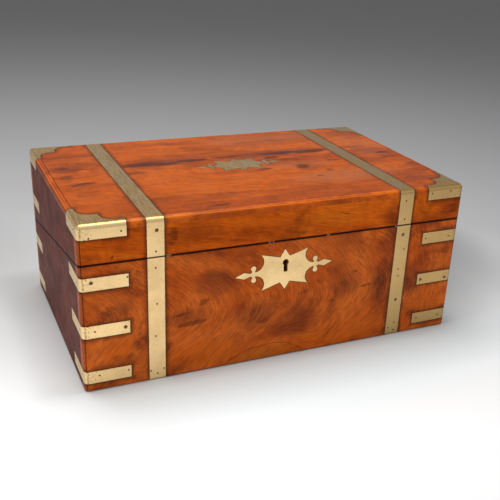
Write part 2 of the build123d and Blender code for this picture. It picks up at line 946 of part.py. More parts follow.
def trough(x_low, x_high):
    """A hollow with rounded corners and a rounded sole, cut from the tray's top."""
    y_low = inner_front + tray_gap + tray_rim
    y_high = bay_back - tray_gap - tray_rim
    with BuildPart() as hollow:
        add(slab(x_low, x_high, y_low, y_high, tray_top - trough_depth, tray_top))
        fillet(hollow.edges().filter_by(Axis.Z), trough_corner)
        fillet(hollow.faces().sort_by(Axis.Z)[0].edges(), trough_sole)
    return hollow.part


nib_start = tray_end - tray_rim - nib_length

with BuildPart() as pen_tray:
    add(
        slab(
            -tray_end, tray_end, inner_front + tray_gap, bay_back - tray_gap, tray_bottom, tray_top
        )
    )
    add(trough(tray_rim - tray_end, nib_start - tray_rim), mode=Mode.SUBTRACT)
    add(trough(nib_start, tray_end - tray_rim), mode=Mode.SUBTRACT)
save(pen_tray, "pen_tray")


def inkwell_glass(side):
    with BuildPart() as glass:
        with BuildSketch(Plane.XY.offset(bay_floor_top)):
            with Locations((side * inkwell_x, bay_middle)):
                Rectangle(inkwell_width, inkwell_width)
        extrude(amount=inkwell_height)
        chamfer(glass.edges().filter_by(Axis.Z), inkwell_edge)
        chamfer(glass.faces().sort_by(Axis.Z)[-1].edges(), inkwell_edge)
        with BuildSketch(Plane.XY.offset(inkwell_top)):
            with Locations((side * inkwell_x, bay_middle)):
                Circle(neck_radius)
        extrude(amount=neck_height)
        with BuildSketch(Plane.XY.offset(bay_floor_top + inkwell_floor)):
            with Locations((side * inkwell_x, bay_middle)):
                Circle(neck_bore)
        extrude(amount=inkwell_height + neck_height, mode=Mode.SUBTRACT)
    return glass.part


def inkwell_cap(side):
    foot = inkwell_top + cap_gap
    with BuildPart() as cap:
        with BuildSketch(Plane.XY.offset(foot)):
            with Locations((side * inkwell_x, bay_middle)):
                Circle(cap_radius)
        extrude(amount=cap_height)
        fillet(cap.faces().sort_by(Axis.Z)[-1].edges(), cap_dome)
        with BuildSketch(Plane.XY.offset(foot)):
            with Locations((side * inkwell_x, bay_middle)):
                Circle(neck_radius + cap_gap)
        extrude(amount=neck_height, mode=Mode.SUBTRACT)
    return cap.part


with BuildPart() as inkwell_glasses:
    add(inkwell_glass(-1))
    add(inkwell_glass(1))
save(inkwell_glasses, "inkwell_glasses")

with BuildPart() as left_inkwell_cap:
    add(inkwell_cap(-1))
save(left_inkwell_cap, "left_inkwell_cap")

with BuildPart() as right_inkwell_cap:
    add(inkwell_cap(1))
save(right_inkwell_cap, "right_inkwell_cap")


# Boards of the base, rounded with the box and let in for the brass
with BuildPart() as base_front_board:
    add(prism(base_section(front, inner_front, 0), -length / 2, length / 2))
    add(outer_form, mode=Mode.INTERSECT)
    for inlay in (
        base_front_straps,
        base_clips_front_left,
        base_clips_front_right,
        escutcheon,
        key_passage,
        lock_outside,
        base_screws,
    ):
        add(inlay.part, mode=Mode.SUBTRACT)
save(base_front_board, "base_front_board")

with BuildPart() as base_back_board:
    add(prism(base_section(inner_back, back, 0), -length / 2, length / 2))
    add(outer_form, mode=Mode.INTERSECT)
    for inlay in (
        base_back_straps,
        base_clips_back_left,
        base_clips_back_right,
        main_hinge_base_leaves,
        hinge_rooms,
        base_screws,
    ):
        add(inlay.part, mode=Mode.SUBTRACT)
save(base_back_board, "base_back_board")

base_end_outline = base_section(inner_front, inner_back, 0)

with BuildPart() as base_left_end:
    add(prism(base_end_outline, -length / 2, -inner_end))
    add(outer_form, mode=Mode.INTERSECT)
    add(base_clips_front_left.part, mode=Mode.SUBTRACT)
    add(base_clips_back_left.part, mode=Mode.SUBTRACT)
save(base_left_end, "base_left_end")

with BuildPart() as base_right_end:
    add(prism(base_end_outline, inner_end, length / 2))
    add(outer_form, mode=Mode.INTERSECT)
    add(base_clips_front_right.part, mode=Mode.SUBTRACT)
    add(base_clips_back_right.part, mode=Mode.SUBTRACT)
save(base_right_end, "base_right_end")

with BuildPart() as base_bottom_board:
    add(slab(-inner_end, inner_end, inner_front, inner_back, 0, bottom_thickness))
save(base_bottom_board, "base_bottom_board")


# Boards of the lid
with BuildPart() as lid_front_board:
    add(prism(lid_section(front, inner_front, top_seat), -length / 2, length / 2))
    add(outer_form, mode=Mode.INTERSECT)
    for inlay in (
        lid_strap_left,
        lid_strap_right,
        lid_bracket_front_left,
        lid_bracket_front_right,
        link_plate_body,
        lid_screws,
        catch_room,
    ):
        add(inlay.part, mode=Mode.SUBTRACT)
save(lid_front_board, "lid_front_board")

with BuildPart() as lid_back_board:
    add(prism(lid_section(inner_back, back, top_seat), -length / 2, length / 2))
    add(outer_form, mode=Mode.INTERSECT)
    for inlay in (
        lid_strap_left,
        lid_strap_right,
        lid_bracket_back_left,
        lid_bracket_back_right,
        lid_clips_back,
        main_hinge_lid_leaves,
        hinge_rooms,
        lid_screws,
    ):
        add(inlay.part, mode=Mode.SUBTRACT)
save(lid_back_board, "lid_back_board")

lid_end_outline = lid_section(inner_front, inner_back, top_seat)

with BuildPart() as lid_left_end:
    add(prism(lid_end_outline, -length / 2, -inner_end))
    add(outer_form, mode=Mode.INTERSECT)
    for inlay in (lid_bracket_front_left, lid_bracket_back_left, lid_clips_back):
        add(inlay.part, mode=Mode.SUBTRACT)
save(lid_left_end, "lid_left_end")

with BuildPart() as lid_right_end:
    add(prism(lid_end_outline, inner_end, length / 2))
    add(outer_form, mode=Mode.INTERSECT)
    for inlay in (lid_bracket_front_right, lid_bracket_back_right, lid_clips_back):
        add(inlay.part, mode=Mode.SUBTRACT)
save(lid_right_end, "lid_right_end")


# Veneered top with its rounded edging, mitred at the corners
lid_top_brass = (
    lid_strap_left,
    lid_strap_right,
    lid_bracket_front_left,
    lid_bracket_front_right,
    lid_bracket_back_left,
    lid_bracket_back_right,
)


def edging(corners):
    """One strip of the edging, from its mitred outline seen from above."""
    with BuildPart() as strip:
        with BuildSketch(Plane.XY.offset(top_seat)):
            with BuildLine():
                Polyline(*corners, close=True)
            make_face()
        extrude(amount=top_thickness)
        add(outer_form, mode=Mode.INTERSECT)
        for inlay in lid_top_brass:
            add(inlay.part, mode=Mode.SUBTRACT)
    return strip.part


veneer_end = length / 2 - edging_width
veneer_front = front + edging_width
veneer_back = back - edging_width
corner_front_left = (-length / 2, front)
corner_front_right = (length / 2, front)
corner_back_left = (-length / 2, back)
corner_back_right = (length / 2, back)
mitre_front_left = (-veneer_end, veneer_front)
mitre_front_right = (veneer_end, veneer_front)
mitre_back_left = (-veneer_end, veneer_back)
mitre_back_right = (veneer_end, veneer_back)

with BuildPart() as lid_edging_front:
    add(edging([corner_front_left, corner_front_right, mitre_front_right, mitre_front_left]))
save(lid_edging_front, "lid_edging_front")

with BuildPart() as lid_edging_back:
    add(edging([corner_back_right, corner_back_left, mitre_back_left, mitre_back_right]))
save(lid_edging_back, "lid_edging_back")

with BuildPart() as lid_edging_left:
    add(edging([corner_back_left, corner_front_left, mitre_front_left, mitre_back_left]))
save(lid_edging_left, "lid_edging_left")

with BuildPart() as lid_edging_right:
    add(edging([corner_front_right, corner_back_right, mitre_back_right, mitre_front_right]))
save(lid_edging_right, "lid_edging_right")

with BuildPart() as lid_top_panel:
    add(slab(-veneer_end, veneer_end, veneer_front, veneer_back, top_seat, height))
    chamfer(lid_top_panel.faces().sort_by(Axis.Z)[-1].edges(), edging_groove)
    for inlay in lid_top_brass + (lid_cartouche,):
        add(inlay.part, mode=Mode.SUBTRACT)
save(lid_top_panel, "lid_top_panel")
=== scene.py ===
import json
from math import atan2, cos, pi, radians, sin, tan

import bpy
import numpy as np
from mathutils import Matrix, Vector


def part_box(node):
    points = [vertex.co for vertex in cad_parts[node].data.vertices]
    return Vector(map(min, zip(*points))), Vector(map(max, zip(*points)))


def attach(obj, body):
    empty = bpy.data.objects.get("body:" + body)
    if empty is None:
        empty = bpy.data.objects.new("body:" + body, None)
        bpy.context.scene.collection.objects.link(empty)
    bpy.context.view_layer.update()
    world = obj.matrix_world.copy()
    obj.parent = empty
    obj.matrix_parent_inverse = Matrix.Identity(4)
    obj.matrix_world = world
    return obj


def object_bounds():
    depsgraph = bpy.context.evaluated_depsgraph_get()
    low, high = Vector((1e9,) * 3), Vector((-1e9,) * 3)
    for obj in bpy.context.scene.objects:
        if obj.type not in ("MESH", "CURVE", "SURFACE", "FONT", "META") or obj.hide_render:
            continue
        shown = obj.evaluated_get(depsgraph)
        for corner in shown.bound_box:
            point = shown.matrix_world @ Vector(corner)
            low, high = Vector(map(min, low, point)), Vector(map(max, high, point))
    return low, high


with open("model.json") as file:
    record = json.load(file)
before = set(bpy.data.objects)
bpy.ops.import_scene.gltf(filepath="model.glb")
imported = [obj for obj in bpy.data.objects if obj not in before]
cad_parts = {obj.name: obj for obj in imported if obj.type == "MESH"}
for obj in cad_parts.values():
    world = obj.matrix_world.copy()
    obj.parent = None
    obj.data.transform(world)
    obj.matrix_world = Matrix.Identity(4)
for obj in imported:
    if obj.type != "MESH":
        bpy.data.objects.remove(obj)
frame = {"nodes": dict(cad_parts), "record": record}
nodes = frame["nodes"]
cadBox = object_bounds()
print("frame loaded:", len(nodes), "nodes")

mm = 0.001

# Places that the finishes and the small pieces share, in millimetres, read from the frame


def span(node):
    low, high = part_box(node)
    return np.array(low) / mm, np.array(high) / mm


boxHigh = np.array(cadBox[1]) / mm
endFace, topFace = boxHigh[0], boxHigh[2]
frontFace = span("base_front_board")[0][1]
backFace = span("base_back_board")[1][1]
strapLow, strapHigh = span("lid_strap_right")
strapMiddle = (strapLow[0] + strapHigh[0]) / 2
strapHalf = (strapHigh[0] - strapLow[0]) / 2
clipLow, clipHigh = span("lid_clips_back")
clipHalf = (clipHigh[2] - clipLow[2]) / 2
clipFoot = span("base_clips_front_left")[0][2]
topClip = clipLow[2] + clipHalf
lowClip = clipFoot + clipHalf
clipLevels = (lowClip, (lowClip + topClip) / 2, topClip)
clipReach = endFace - span("base_clips_front_right")[0][0]
bracketLow, bracketHigh = span("lid_bracket_front_right")
panelHigh = span("lid_top_panel")[1]
splitFront = span("base_front_board")[1][2]
splitBack = topFace / 2
slopeAngle = atan2(splitFront - splitBack, backFace - frontFace)


# Shader fields: a number that changes from place to place, with plain arithmetic on it
class Field:
    def __init__(self, socket):
        self.socket = socket
        self.tree = socket.id_data

    def calc(self, operation, *others):
        node = self.tree.nodes.new("ShaderNodeMath")
        node.operation = operation
        for value, socket in zip((self, *others), node.inputs):
            feed(value, socket)
        return Field(node.outputs[0])

    def __rsub__(self, other):
        return self * -1.0 + other

    def size(self):
        return self.calc("ABSOLUTE")

    def between(self, start, end, low=0.0, high=1.0):
        # Smooth step: low before start, high after end
        node = self.tree.nodes.new("ShaderNodeMapRange")
        node.interpolation_type = "SMOOTHSTEP"
        for value, socket in zip((self, start, end, low, high), node.inputs):
            feed(value, socket)
        return Field(node.outputs[0])


def arithmetic(operation):
    # A method that works the operation on a field and on each other value in turn
    def method(field, *others):
        for other in others:
            field = field.calc(operation, other)
        return field

    return method


for methodName, operation in {
    "__add__": "ADD", "__sub__": "SUBTRACT", "__mul__": "MULTIPLY", "__truediv__": "DIVIDE",
    "power": "POWER", "largest": "MAXIMUM", "smallest": "MINIMUM",
}.items():
    setattr(Field, methodName, arithmetic(operation))


def feed(value, socket):
    # Puts a field, a socket or a plain value into an input
    if isinstance(value, Field):
        value = value.socket
    if isinstance(value, bpy.types.NodeSocket):
        socket.id_data.links.new(value, socket)
    else:
        socket.default_value = value


def addNode(tree, kind, inputs=(), **settings):
    node = tree.nodes.new(kind)
    for key, value in settings.items():
        setattr(node, key, value)
    for key, value in dict(inputs).items():
        feed(value, node.inputs[key])
    return node


def together(x, y, z):
    return addNode(x.tree, "ShaderNodeCombineXYZ", {"X": x, "Y": y, "Z": z}).outputs[0]


def noise(vector, scale, detail, roughness):
    inputs = {"Vector": vector, "Scale": scale, "Detail": detail, "Roughness": roughness}
    return Field(addNode(vector.id_data, "ShaderNodeTexNoise", inputs).outputs["Fac"])


def linear(red, green, blue):
    # A colour as it looks on a screen, 0 to 255, turned into the linear value that a shader takes
    share = np.array((red, green, blue)) / 255
    value = np.where(share > 0.04045, ((share + 0.055) / 1.055) ** 2.4, share / 12.92)
    return (*value.tolist(), 1.0)


def mix(factor, first, second, blend="MIX"):
    # A colour is a socket or the three screen values that linear takes
    node = factor.tree.nodes.new("ShaderNodeMix")
    node.data_type = "RGBA"
    node.blend_type = blend
    for value, number in ((factor, 0), (first, 6), (second, 7)):
        feed(linear(*value) if isinstance(value, tuple) else value, node.inputs[number])
    return node.outputs[2]


def bump(height, strength, distance):
    inputs = {"Height": height, "Strength": strength, "Distance": distance}
    return addNode(height.tree, "ShaderNodeBump", inputs).outputs["Normal"]


def newMaterial(name, **constants):
    # A material, and its object coordinates as three fields in millimetres
    material = bpy.data.materials.new(name)
    material.use_nodes = True
    tree = material.node_tree
    for key, value in constants.items():
        tree.nodes["Principled BSDF"].inputs[key.replace("_", " ")].default_value = value
    where = addNode(tree, "ShaderNodeTexCoord").outputs["Object"]
    parts = addNode(tree, "ShaderNodeSeparateXYZ", {"Vector": where})
    return material, [Field(parts.outputs[k]) * (1 / mm) for k in range(3)]


def coat(material, colour, roughness, normal=None):
    shader = material.node_tree.nodes["Principled BSDF"]
    feed(colour, shader.inputs["Base Color"])
    feed(roughness, shader.inputs["Roughness"])
    if normal is not None:
        feed(normal, shader.inputs["Normal"])
    return material


# Distances to the brass, for the dark wax and dirt that gather along it, and to the split and the outer
# faces, for painted shade and highlights
def splitDistance(y, z):
    # Height over the slanting joint, square to it
    middle = splitFront - (y - frontFace) * tan(slopeAngle)
    return (z - middle) * cos(slopeAngle) - seam["gap"] / 2


seam = {
    "gap": 0.8,
    "line": 0.5,  # solid dark line along the brass
    # splitLine: width of the painted shade along the split between lid and base
    "splitLine": 0.55,
}
upright = {"radius": 4.5}  # rounding of the upright corners


def bindingDistance(x, y, z):
    # Below 0 on a strap, clip or bracket flange, and above 0 on the wood round it
    across, through = x.size(), y.size()
    nearest = (across - strapMiddle).size() - strapHalf
    corner = (endFace - clipReach - across).largest(backFace - clipReach - through)
    for level in clipLevels:
        nearest = nearest.smallest(corner.largest((z - level).size() - clipHalf))
    flange = (bracketLow[0] - across).largest(-bracketHigh[1] - through, bracketLow[2] - z)
    return nearest.smallest(flange)


def wallDepth(x, y):
    # Height over the box's upright outer faces, whose plan is a rectangle with round corners
    radius = upright["radius"]
    first = x.size() - (endFace - radius)
    second = y.size() - (backFace - radius)
    outer, other = first.largest(0.0), second.largest(0.0)
    return (outer * outer + other * other).power(0.5) + first.largest(second).smallest(0.0) - radius


bracketPlan = {"arm": 6.5, "cusp": 24.5, "bite": 13.5}


def bracketPlanDistance(x, y):
    # The same for a bracket's hollowed top plate: far and near are the distances in from the box's two faces
    plan = bracketPlan
    first = endFace - x.size()
    second = backFace - y.size()
    far, near = first.largest(second), first.smallest(second)
    reach = endFace - bracketLow[0]
    farEnd = plan["cusp"] + plan["bite"]
    nearEnd = plan["arm"] + plan["bite"]
    fromHollow = ((far - farEnd).power(2.0) + (near - nearEnd).power(2.0)).power(0.5)
    arm = (near - plan["arm"]).largest(far - reach)
    lobe = (far - farEnd).largest(near - nearEnd, plan["bite"] - fromHollow)
    return arm.smallest(far - plan["cusp"], lobe)


# Mahogany
plainWood = {  # holds where a wood below says nothing else
    "axes": (0, 2, 1),  # along the grain, across it, into the board
    "lean": 0.0, "hills": (), "tints": (), "smudges": (), "glows": (), "burn": 0.6, "drawn": 1.0,
    "shine": 0.36,
}
mahogany = {
    "baseFront": {
        "bow": (66, 22, (-150, 1.45), (60, 1.05), (165, 0.3)),  # level, bluntness, steepness at three places
        "hills": ((-12, -14, 60, 30),),
        "tones": ((220, 108, 36), (194, 82, 14), (118, 46, 14), (50, 22, 12)),
        "burn": 0.55,
        "island": (-18, -4, 44, 20, (172, 96, 22)),  # middle, half sizes and colour of the low hill
        "tints": (
            ((104, 48, 26), (
                (-76, 94, 26, 18, 0, 0.55), (70, 72, 22, 22, 20, 0.5), (114, 62, 18, 44, 0, 0.6),
                (150, 62, 14, 26, 0, 0.65), (-34, 54, 34, 20, -8, 0.5), (-104, 62, 30, 12, 6, 0.5),
                (-172, 78, 26, 12, 30, 0.5), (10, 40, 40, 16, 14, 0.35),
            )),
            ((204, 92, 8), (
                (66, 14, 96, 18, 4, 0.6), (-84, 20, 54, 18, 0, 0.6), (176, 36, 30, 22, 0, 0.6),
                (-170, 38, 20, 14, 30, 0.6), (176, 6, 40, 8, 0, 0.5),
            )),
        ),
        "smudges": (  # middle, half length, half width, turn in degrees, strength
            (-86, 76, 9, 4, 25, 0.9), (-108, 66, 12, 2.5, 8, 0.9), (-98, 55, 22, 3.5, 4, 1.0),
            (-116, 47, 7, 3, 30, 0.7), (-24, 44, 9, 4, 0, 0.6), (-34, 54, 26, 14, -8, 0.45),
            (78, 84, 5, 2.5, 0, 0.8), (93, 66, 11, 2.2, 5, 1.0), (68, 72, 6, 8, 20, 0.7),
            (52, 55, 8, 3, 0, 0.7), (112, 62, 12, 26, 0, 0.6), (148, 60, 8, 12, 0, 0.85),
            (20, 70, 10, 3, 10, 0.5), (176, 86, 10, 2.5, 0, 0.5), (-180, 80, 12, 8, 40, 0.55),
            (-176, 28, 30, 7, 10, 0.5), (-148, 44, 7, 22, 0, 0.5), (-122, 36, 5, 12, 0, 0.7),
            (-185, 6, 24, 5, 0, 0.6), (-172, 122, 8, 6, 0, 0.5), (-150, 110, 8, 12, 0, 0.5),
            (6, 30, 30, 10, 12, 0.35), (60, 22, 30, 5, 35, 0.35),
        ),
        "glows": (  # middle, half sizes, strength of the paler tone
            (-80, 26, 50, 16, 0, 0.55), (-172, 40, 18, 9, 30, 0.6), (176, 36, 24, 16, 0, 0.6),
            (88, 18, 50, 14, 0, 0.5), (60, 108, 60, 22, -20, 0.4), (-80, 114, 50, 12, -10, 0.45),
            (172, 108, 24, 16, 0, 0.4),
        ),
        "warp": (9.6, 1.2),  # slow and quick bends of the grain
    },
    "lidFront": {
        "lean": 0.17,
        "hills": ((172, 142, 40, 16), (40, 150, 80, 7)),
        "tones": ((226, 108, 16), (202, 86, 8), (134, 50, 4), (64, 22, 6)),
        "burn": 0.7,
        "smudges": (
            (-173, 134, 3, 2, 60, 0.9), (-117, 148, 7, 14, 0, 0.75), (60, 150, 10, 1.5, -12, 0.5),
            (118, 140, 8, 12, 0, 0.5), (192, 142, 10, 8, 0, 0.5), (-60, 136, 40, 3, -10, 0.4),
            (20, 134, 30, 2.5, -8, 0.4),
        ),
        "glows": ((-40, 152, 50, 7, -6, 0.5), (60, 152, 50, 8, -6, 0.5)),
        "tints": (
            ((116, 42, 10), (
                (-94, 148, 34, 14, 0, 0.6), (120, 142, 18, 18, 0, 0.6), (188, 142, 14, 18, 0, 0.4),
            )),
            ((214, 112, 20), ((50, 146, 40, 12, -6, 0.55),)),
        ),
        "warp": (6.4, 1.0),
    },
    "back": {
        "bow": (40, 26, (-150, 0.4), (-40, 0.9), (150, 1.4)),
        "hills": ((-90, 90, 50, 24),),
        "tones": ((208, 108, 40), (180, 80, 16), (122, 50, 10), (54, 20, 10)),
        "smudges": ((40, 60, 40, 5, 0, 0.6), (-120, 70, 22, 8, 10, 0.6), (90, 100, 18, 4, 0, 0.6)),
        "glows": ((-20, 30, 60, 18, 0, 0.5),),
        "warp": (12.0, 1.2),
    },
    "end": {
        "axes": (1, 2, 0),
        "lean": 0.06,
        "hills": ((-20, 60, 110, 20), (70, 20, 60, -14)),
        # darker than the front and back: partly the wood's own colour, partly painted shade on the dim ends
        "tones": ((122, 54, 38), (110, 48, 34), (83, 34, 25), (40, 16, 12)),
        "smudges": ((20, 70, 50, 9, 0, 0.3),),
        "warp": (12.0, 1.2),
        "shine": 0.42,
    },
    "top": {
        "axes": (0, 1, 2),
        "lean": 0.02,
        "hills": ((-172, 24, 34, 16), (-160, -16, 34, -10), (100, -20, 50, 14), (60, -70, 90, 6)),
        "tones": ((182, 84, 16), (152, 64, 12), (94, 38, 12), (44, 21, 20)),
        "burn": 0.85,
        "drawn": 2.2,  # times that the streaks are longer
        "clouds": 0.45,
        "tints": (
            # paler, duller tan on the right and back of the top: painted sheen
            ((160, 92, 54), (
                (96, -62, 80, 26, 0, 0.6), (70, 92, 110, 30, 0, 0.5), (170, 40, 34, 60, 0, 0.4),
                (60, -14, 60, 18, 0, 0.35),
            )),
            ((92, 44, 34), (
                (-78, 30, 66, 15, 2, 0.7), (62, 33, 92, 15, 1, 0.75), (46, 4, 40, 14, -14, 0.4),
                (70, -26, 18, 18, 0, 0.35), (-178, 34, 26, 12, 10, 0.4), (170, 18, 30, 16, 0, 0.35),
            )),
        ),
        "smudges": (
            (-100, 30, 34, 9, 2, 1.0), (-46, 31, 26, 7, 0, 1.0), (-76, 26, 20, 5, 0, 0.8),
            (0, 33, 30, 5, 4, 0.7), (58, 33, 30, 8, 2, 0.9), (98, 31, 28, 8, 2, 1.0),
            (160, 34, 24, 8, 0, 0.45), (44, 18, 14, 5, 0, 0.9), (62, 6, 22, 7, -12, 0.7),
            (64, -22, 12, 10, 50, 0.8), (18, -20, 14, 6, 0, 0.6), (88, -40, 8, 5, 0, 0.7),
            (68, -57, 6, 4, 0, 0.7), (182, 4, 14, 6, -10, 0.9), (190, -44, 10, 16, 0, 0.5),
            (-184, 38, 12, 9, 0, 0.7), (-170, 30, 16, 5, 0, 0.6), (-174, -18, 20, 6, 4, 0.8),
            (-184, 8, 10, 8, 0, 0.6), (-112, 4, 14, 5, 0, 0.5), (-66, -112, 16, 4, 0, 0.6),
            (-176, -52, 18, 3, 0, 0.4), (60, 84, 60, 8, 0, 0.35), (110, -8, 14, 4, 0, 0.6),
        ),
        "glows": (
            (-164, 22, 9, 9, 30, 1.0), (-172, -8, 20, 5, 0, 0.7), (-90, 84, 60, 24, 0, 0.3),
            (-40, -50, 100, 22, 0, 0.35), (-150, 60, 20, 14, 0, 0.4), (160, -10, 16, 8, 0, 0.5),
        ),
        "warp": (8.8, 1.8),
    },
    "edgingLong": {
        "axes": (0, 1, 2),
        "tones": ((214, 101, 13), (192, 82, 8), (132, 50, 5), (84, 32, 8)),
        "warp": (4.0, 1.6),
        "shine": 0.28,
    },
    "fitting": {
        "axes": (0, 1, 2),
        "lean": 0.03,
        "hills": ((0, 0, 150, 12),),
        "tones": ((146, 80, 46), (126, 64, 34), (94, 44, 24), (54, 24, 16)),
        "warp": (24.0, 4.0),
        "shine": 0.5,
    },
}
# The short edgings take darker tones than the long ones: painted shade on the dim ends
mahogany["edgingShort"] = dict(
    mahogany["edgingLong"], axes=(1, 0, 2), tones=((188, 82, 8), (166, 64, 5), (116, 41, 4), (76, 28, 7)),
)
mahogany["crossFitting"] = dict(mahogany["fitting"], axes=(1, 0, 2))


def softSpot(along, across, spot):
    # 1 in the middle of a turned oval, falling smoothly to 0 at its rim
    x, y, halfLong, halfWide, turn = spot
    right, up = along - x, across - y
    first = (right * cos(radians(turn)) + up * sin(radians(turn))) / halfLong
    second = (up * cos(radians(turn)) - right * sin(radians(turn))) / halfWide
    return (first * first + second * second).between(0.0, 1.0, 1.0, 0.0)


bowShare = 0.6  # height that the bows gain for each millimetre along the board


def grainHeight(look, along, across, flat):
    # The grain follows the level lines of this height: a slope, or bows whose level lines are hyperbolas
    # x = c - k * sqrt((z - level)^2 + bluntness^2), lifted by soft hills and bent by slow noise
    height = across + along * look["lean"]
    if "bow" in look:
        level, blunt, *places = look["bow"]
        steep = along.between(places[0][0], places[1][0], places[0][1], places[1][1])
        steep = steep + along.between(places[1][0], places[2][0], 0.0, places[2][1] - places[1][1])
        up = across - level
        reach = (up * up + blunt**2).power(0.5)
        height = (along + steep * reach) * bowShare
    for x, y, radius, lift in look["hills"]:
        height = height + softSpot(along, across, (x, y, radius, radius, 0)) * lift
    slow, quick = look["warp"]
    height = height + (noise(flat, 0.014, 2.0, 0.5) - 0.5) * slow
    return height + (noise(flat, 0.08, 3.0, 0.5) - 0.5) * quick


figures = {  # scale across the grain, times slower along it, detail and seed
    "tone": (0.022, 2.5, 3.0, 0.0),
    "bands": (0.13, 6.0, 4.0, 7.0),
    "streaks": (0.75, 22.0, 4.0, 3.0),
    "fibres": (2.3, 26.0, 2.0, 11.0),
}
contrasts = {  # noise values between which a figure darkens the wood, how much, and the same for paling it
    "clouds": ((0.47, 0.66, 0.75), (0.34, 0.48, 0.5)),
    "bands": ((0.47, 0.66, 0.26), (0.34, 0.48, 0.22)),
    "streaks": ((0.5, 0.66, 0.26), (0.36, 0.49, 0.13)),
    "fibres": ((0.5, 0.62, 0.42), (0.38, 0.5, 0.2)),
}


def woodMaterial(name, grimeAndLight, gloss):
    # Tone, bands, streaks and fibres are the same noise read ever finer across the grain
    look = {**plainWood, **mahogany[name]}
    material, xyz = newMaterial(f"mahogany{name[0].upper()}{name[1:]}", Specular_IOR_Level=gloss)
    along, across, deep = (xyz[k] for k in look["axes"])
    flat = together(along, across, deep)
    height = grainHeight(look, along, across, flat)
    pale, middle, dark, burnt = look["tones"]

    def figure(kind):
        fine, slower, detail, seed = figures[kind]
        shared = fine / (slower * look["drawn"])
        where = together(height * fine, along * shared + seed, across * shared + deep * shared)
        return noise(where, 1.0, detail, 0.6)

    def shaded(colour, field, kind):
        (darkStart, darkEnd, darkening), (paleStart, paleEnd, paling) = contrasts[kind]
        darkening = look.get(kind, darkening)
        colour = mix(field.between(darkStart, darkEnd, 0.0, darkening), colour, dark)
        return mix(field.between(paleStart, paleEnd, paling, 0.0), colour, pale)

    tone, bands, streaks, fibres = (figure(kind) for kind in figures)
    ripple = noise(together(along * 0.16, height * 0.05, across * 0.1), 1.0, 3.0, 0.5)
    cloud = noise(together(along * 0.02, across * 0.026, height * 0.01), 1.0, 4.0, 0.6)
    colour = mix(tone.between(0.4, 0.6), pale, middle)
    colour = shaded(colour, cloud, "clouds")
    colour = shaded(colour, bands, "bands")
    colour = mix(ripple.between(0.42, 0.66, 0.0, 0.25), colour, dark)
    for *spot, strength in look["glows"]:
        colour = mix(softSpot(along, across, spot) * strength, colour, pale)
    if "island" in look:
        x, y, halfLong, halfWide, shade = look["island"]
        right, up = (along - x) / halfLong, (across - y) / halfWide
        reach = (right * right + up * up).power(0.5) + (tone - 0.5) * 0.4
        colour = mix(reach.between(0.9, 1.0, 0.45, 0.0), colour, shade)
        colour = mix((reach - 1.0).size().between(0.005, 0.04, 0.6, 0.0), colour, burnt)
    for shade, spots in look["tints"]:
        for *spot, strength in spots:
            colour = mix(softSpot(along, across, spot) * strength, colour, shade)
    burn = None
    for *spot, strength in look["smudges"]:
        patch = softSpot(along, across, spot) * strength
        burn = patch if burn is None else burn.largest(patch)
    if burn is not None:
        slower = 0.07 / look["drawn"]
        where = together(height * 0.3, along * slower, across * 0.07)
        depth = (burn + (noise(where, 1.0, 5.0, 0.65) - 0.5) * 2.4).between(0.15, 0.85)
        colour = mix(depth * burn.between(0.0, 0.25) * look["burn"], colour, burnt)
    colour = shaded(colour, streaks, "streaks")
    colour = shaded(colour, fibres, "fibres")
    if grimeAndLight is not None:
        for amount, shade in grimeAndLight(xyz):
            colour = mix(amount, colour, shade)
    polish = noise(flat, 0.05, 3.0, 0.6).between(0.3, 0.7, look["shine"] - 0.04, look["shine"] + 0.06)
    return coat(material, colour, polish, bump(fibres, 0.06, 0.0002))


grimeAndLightLook = {
    "stain": (74, 30, 14),  # old wax soaked in along the brass
    "line": (24, 11, 6),
    "worn": (166, 88, 56),  # painted highlight on the rounded upright corners
    "rub": ((2.4, 3.0), (0.2, 1.0)),  # reach of the painted corner highlight, from where the corner starts to round: on the end and on the side
    "cornerHighlightRise": (0.0, 150.0, 0.35, 0.65),  # the painted highlight is stronger higher up
    "arrisHighlight": (232, 138, 50),  # painted highlight along the rounded edge round the top
    "arrisFade": (30.0, 150.0, 1.0, 0.3),  # the painted highlight is weaker to the right
    # colour of the painted glints
    "lipGlint": (206, 190, 168),
    # middles and half lengths of the painted glints on the lip of the split along the front
    "lipGlints": ((-121, 3), (-20, 1.4), (-16, 1.0), (44, 2), (124, 2.6), (136, 3)),
    "reach": 8.0,  # of the stain
    "strength": 0.72,
    "skin": (-0.7, -0.35),  # grime fades out between these depths under the outer faces
    "crease": 2.2,  # from where a corner starts to round to the dark line on it
    "foot": 2.0,  # height of the painted shade round the box's foot, where it meets the floor
}


def brassGrime(xyz, distance):
    # Soft ragged stain and a thin solid line beside the brass
    ragged = noise(together(*xyz), 0.07, 4.0, 0.6)
    reach = ragged.between(0.3, 0.7, 0.35, 1.0) * grimeAndLightLook["reach"]
    soft = distance.between(0.0, reach, grimeAndLightLook["strength"], 0.0)
    line = distance.between(seam["line"] * 0.6, seam["line"] * 1.4, 0.95, 0.0)
    return [(soft, grimeAndLightLook["stain"]), (line, grimeAndLightLook["line"])]


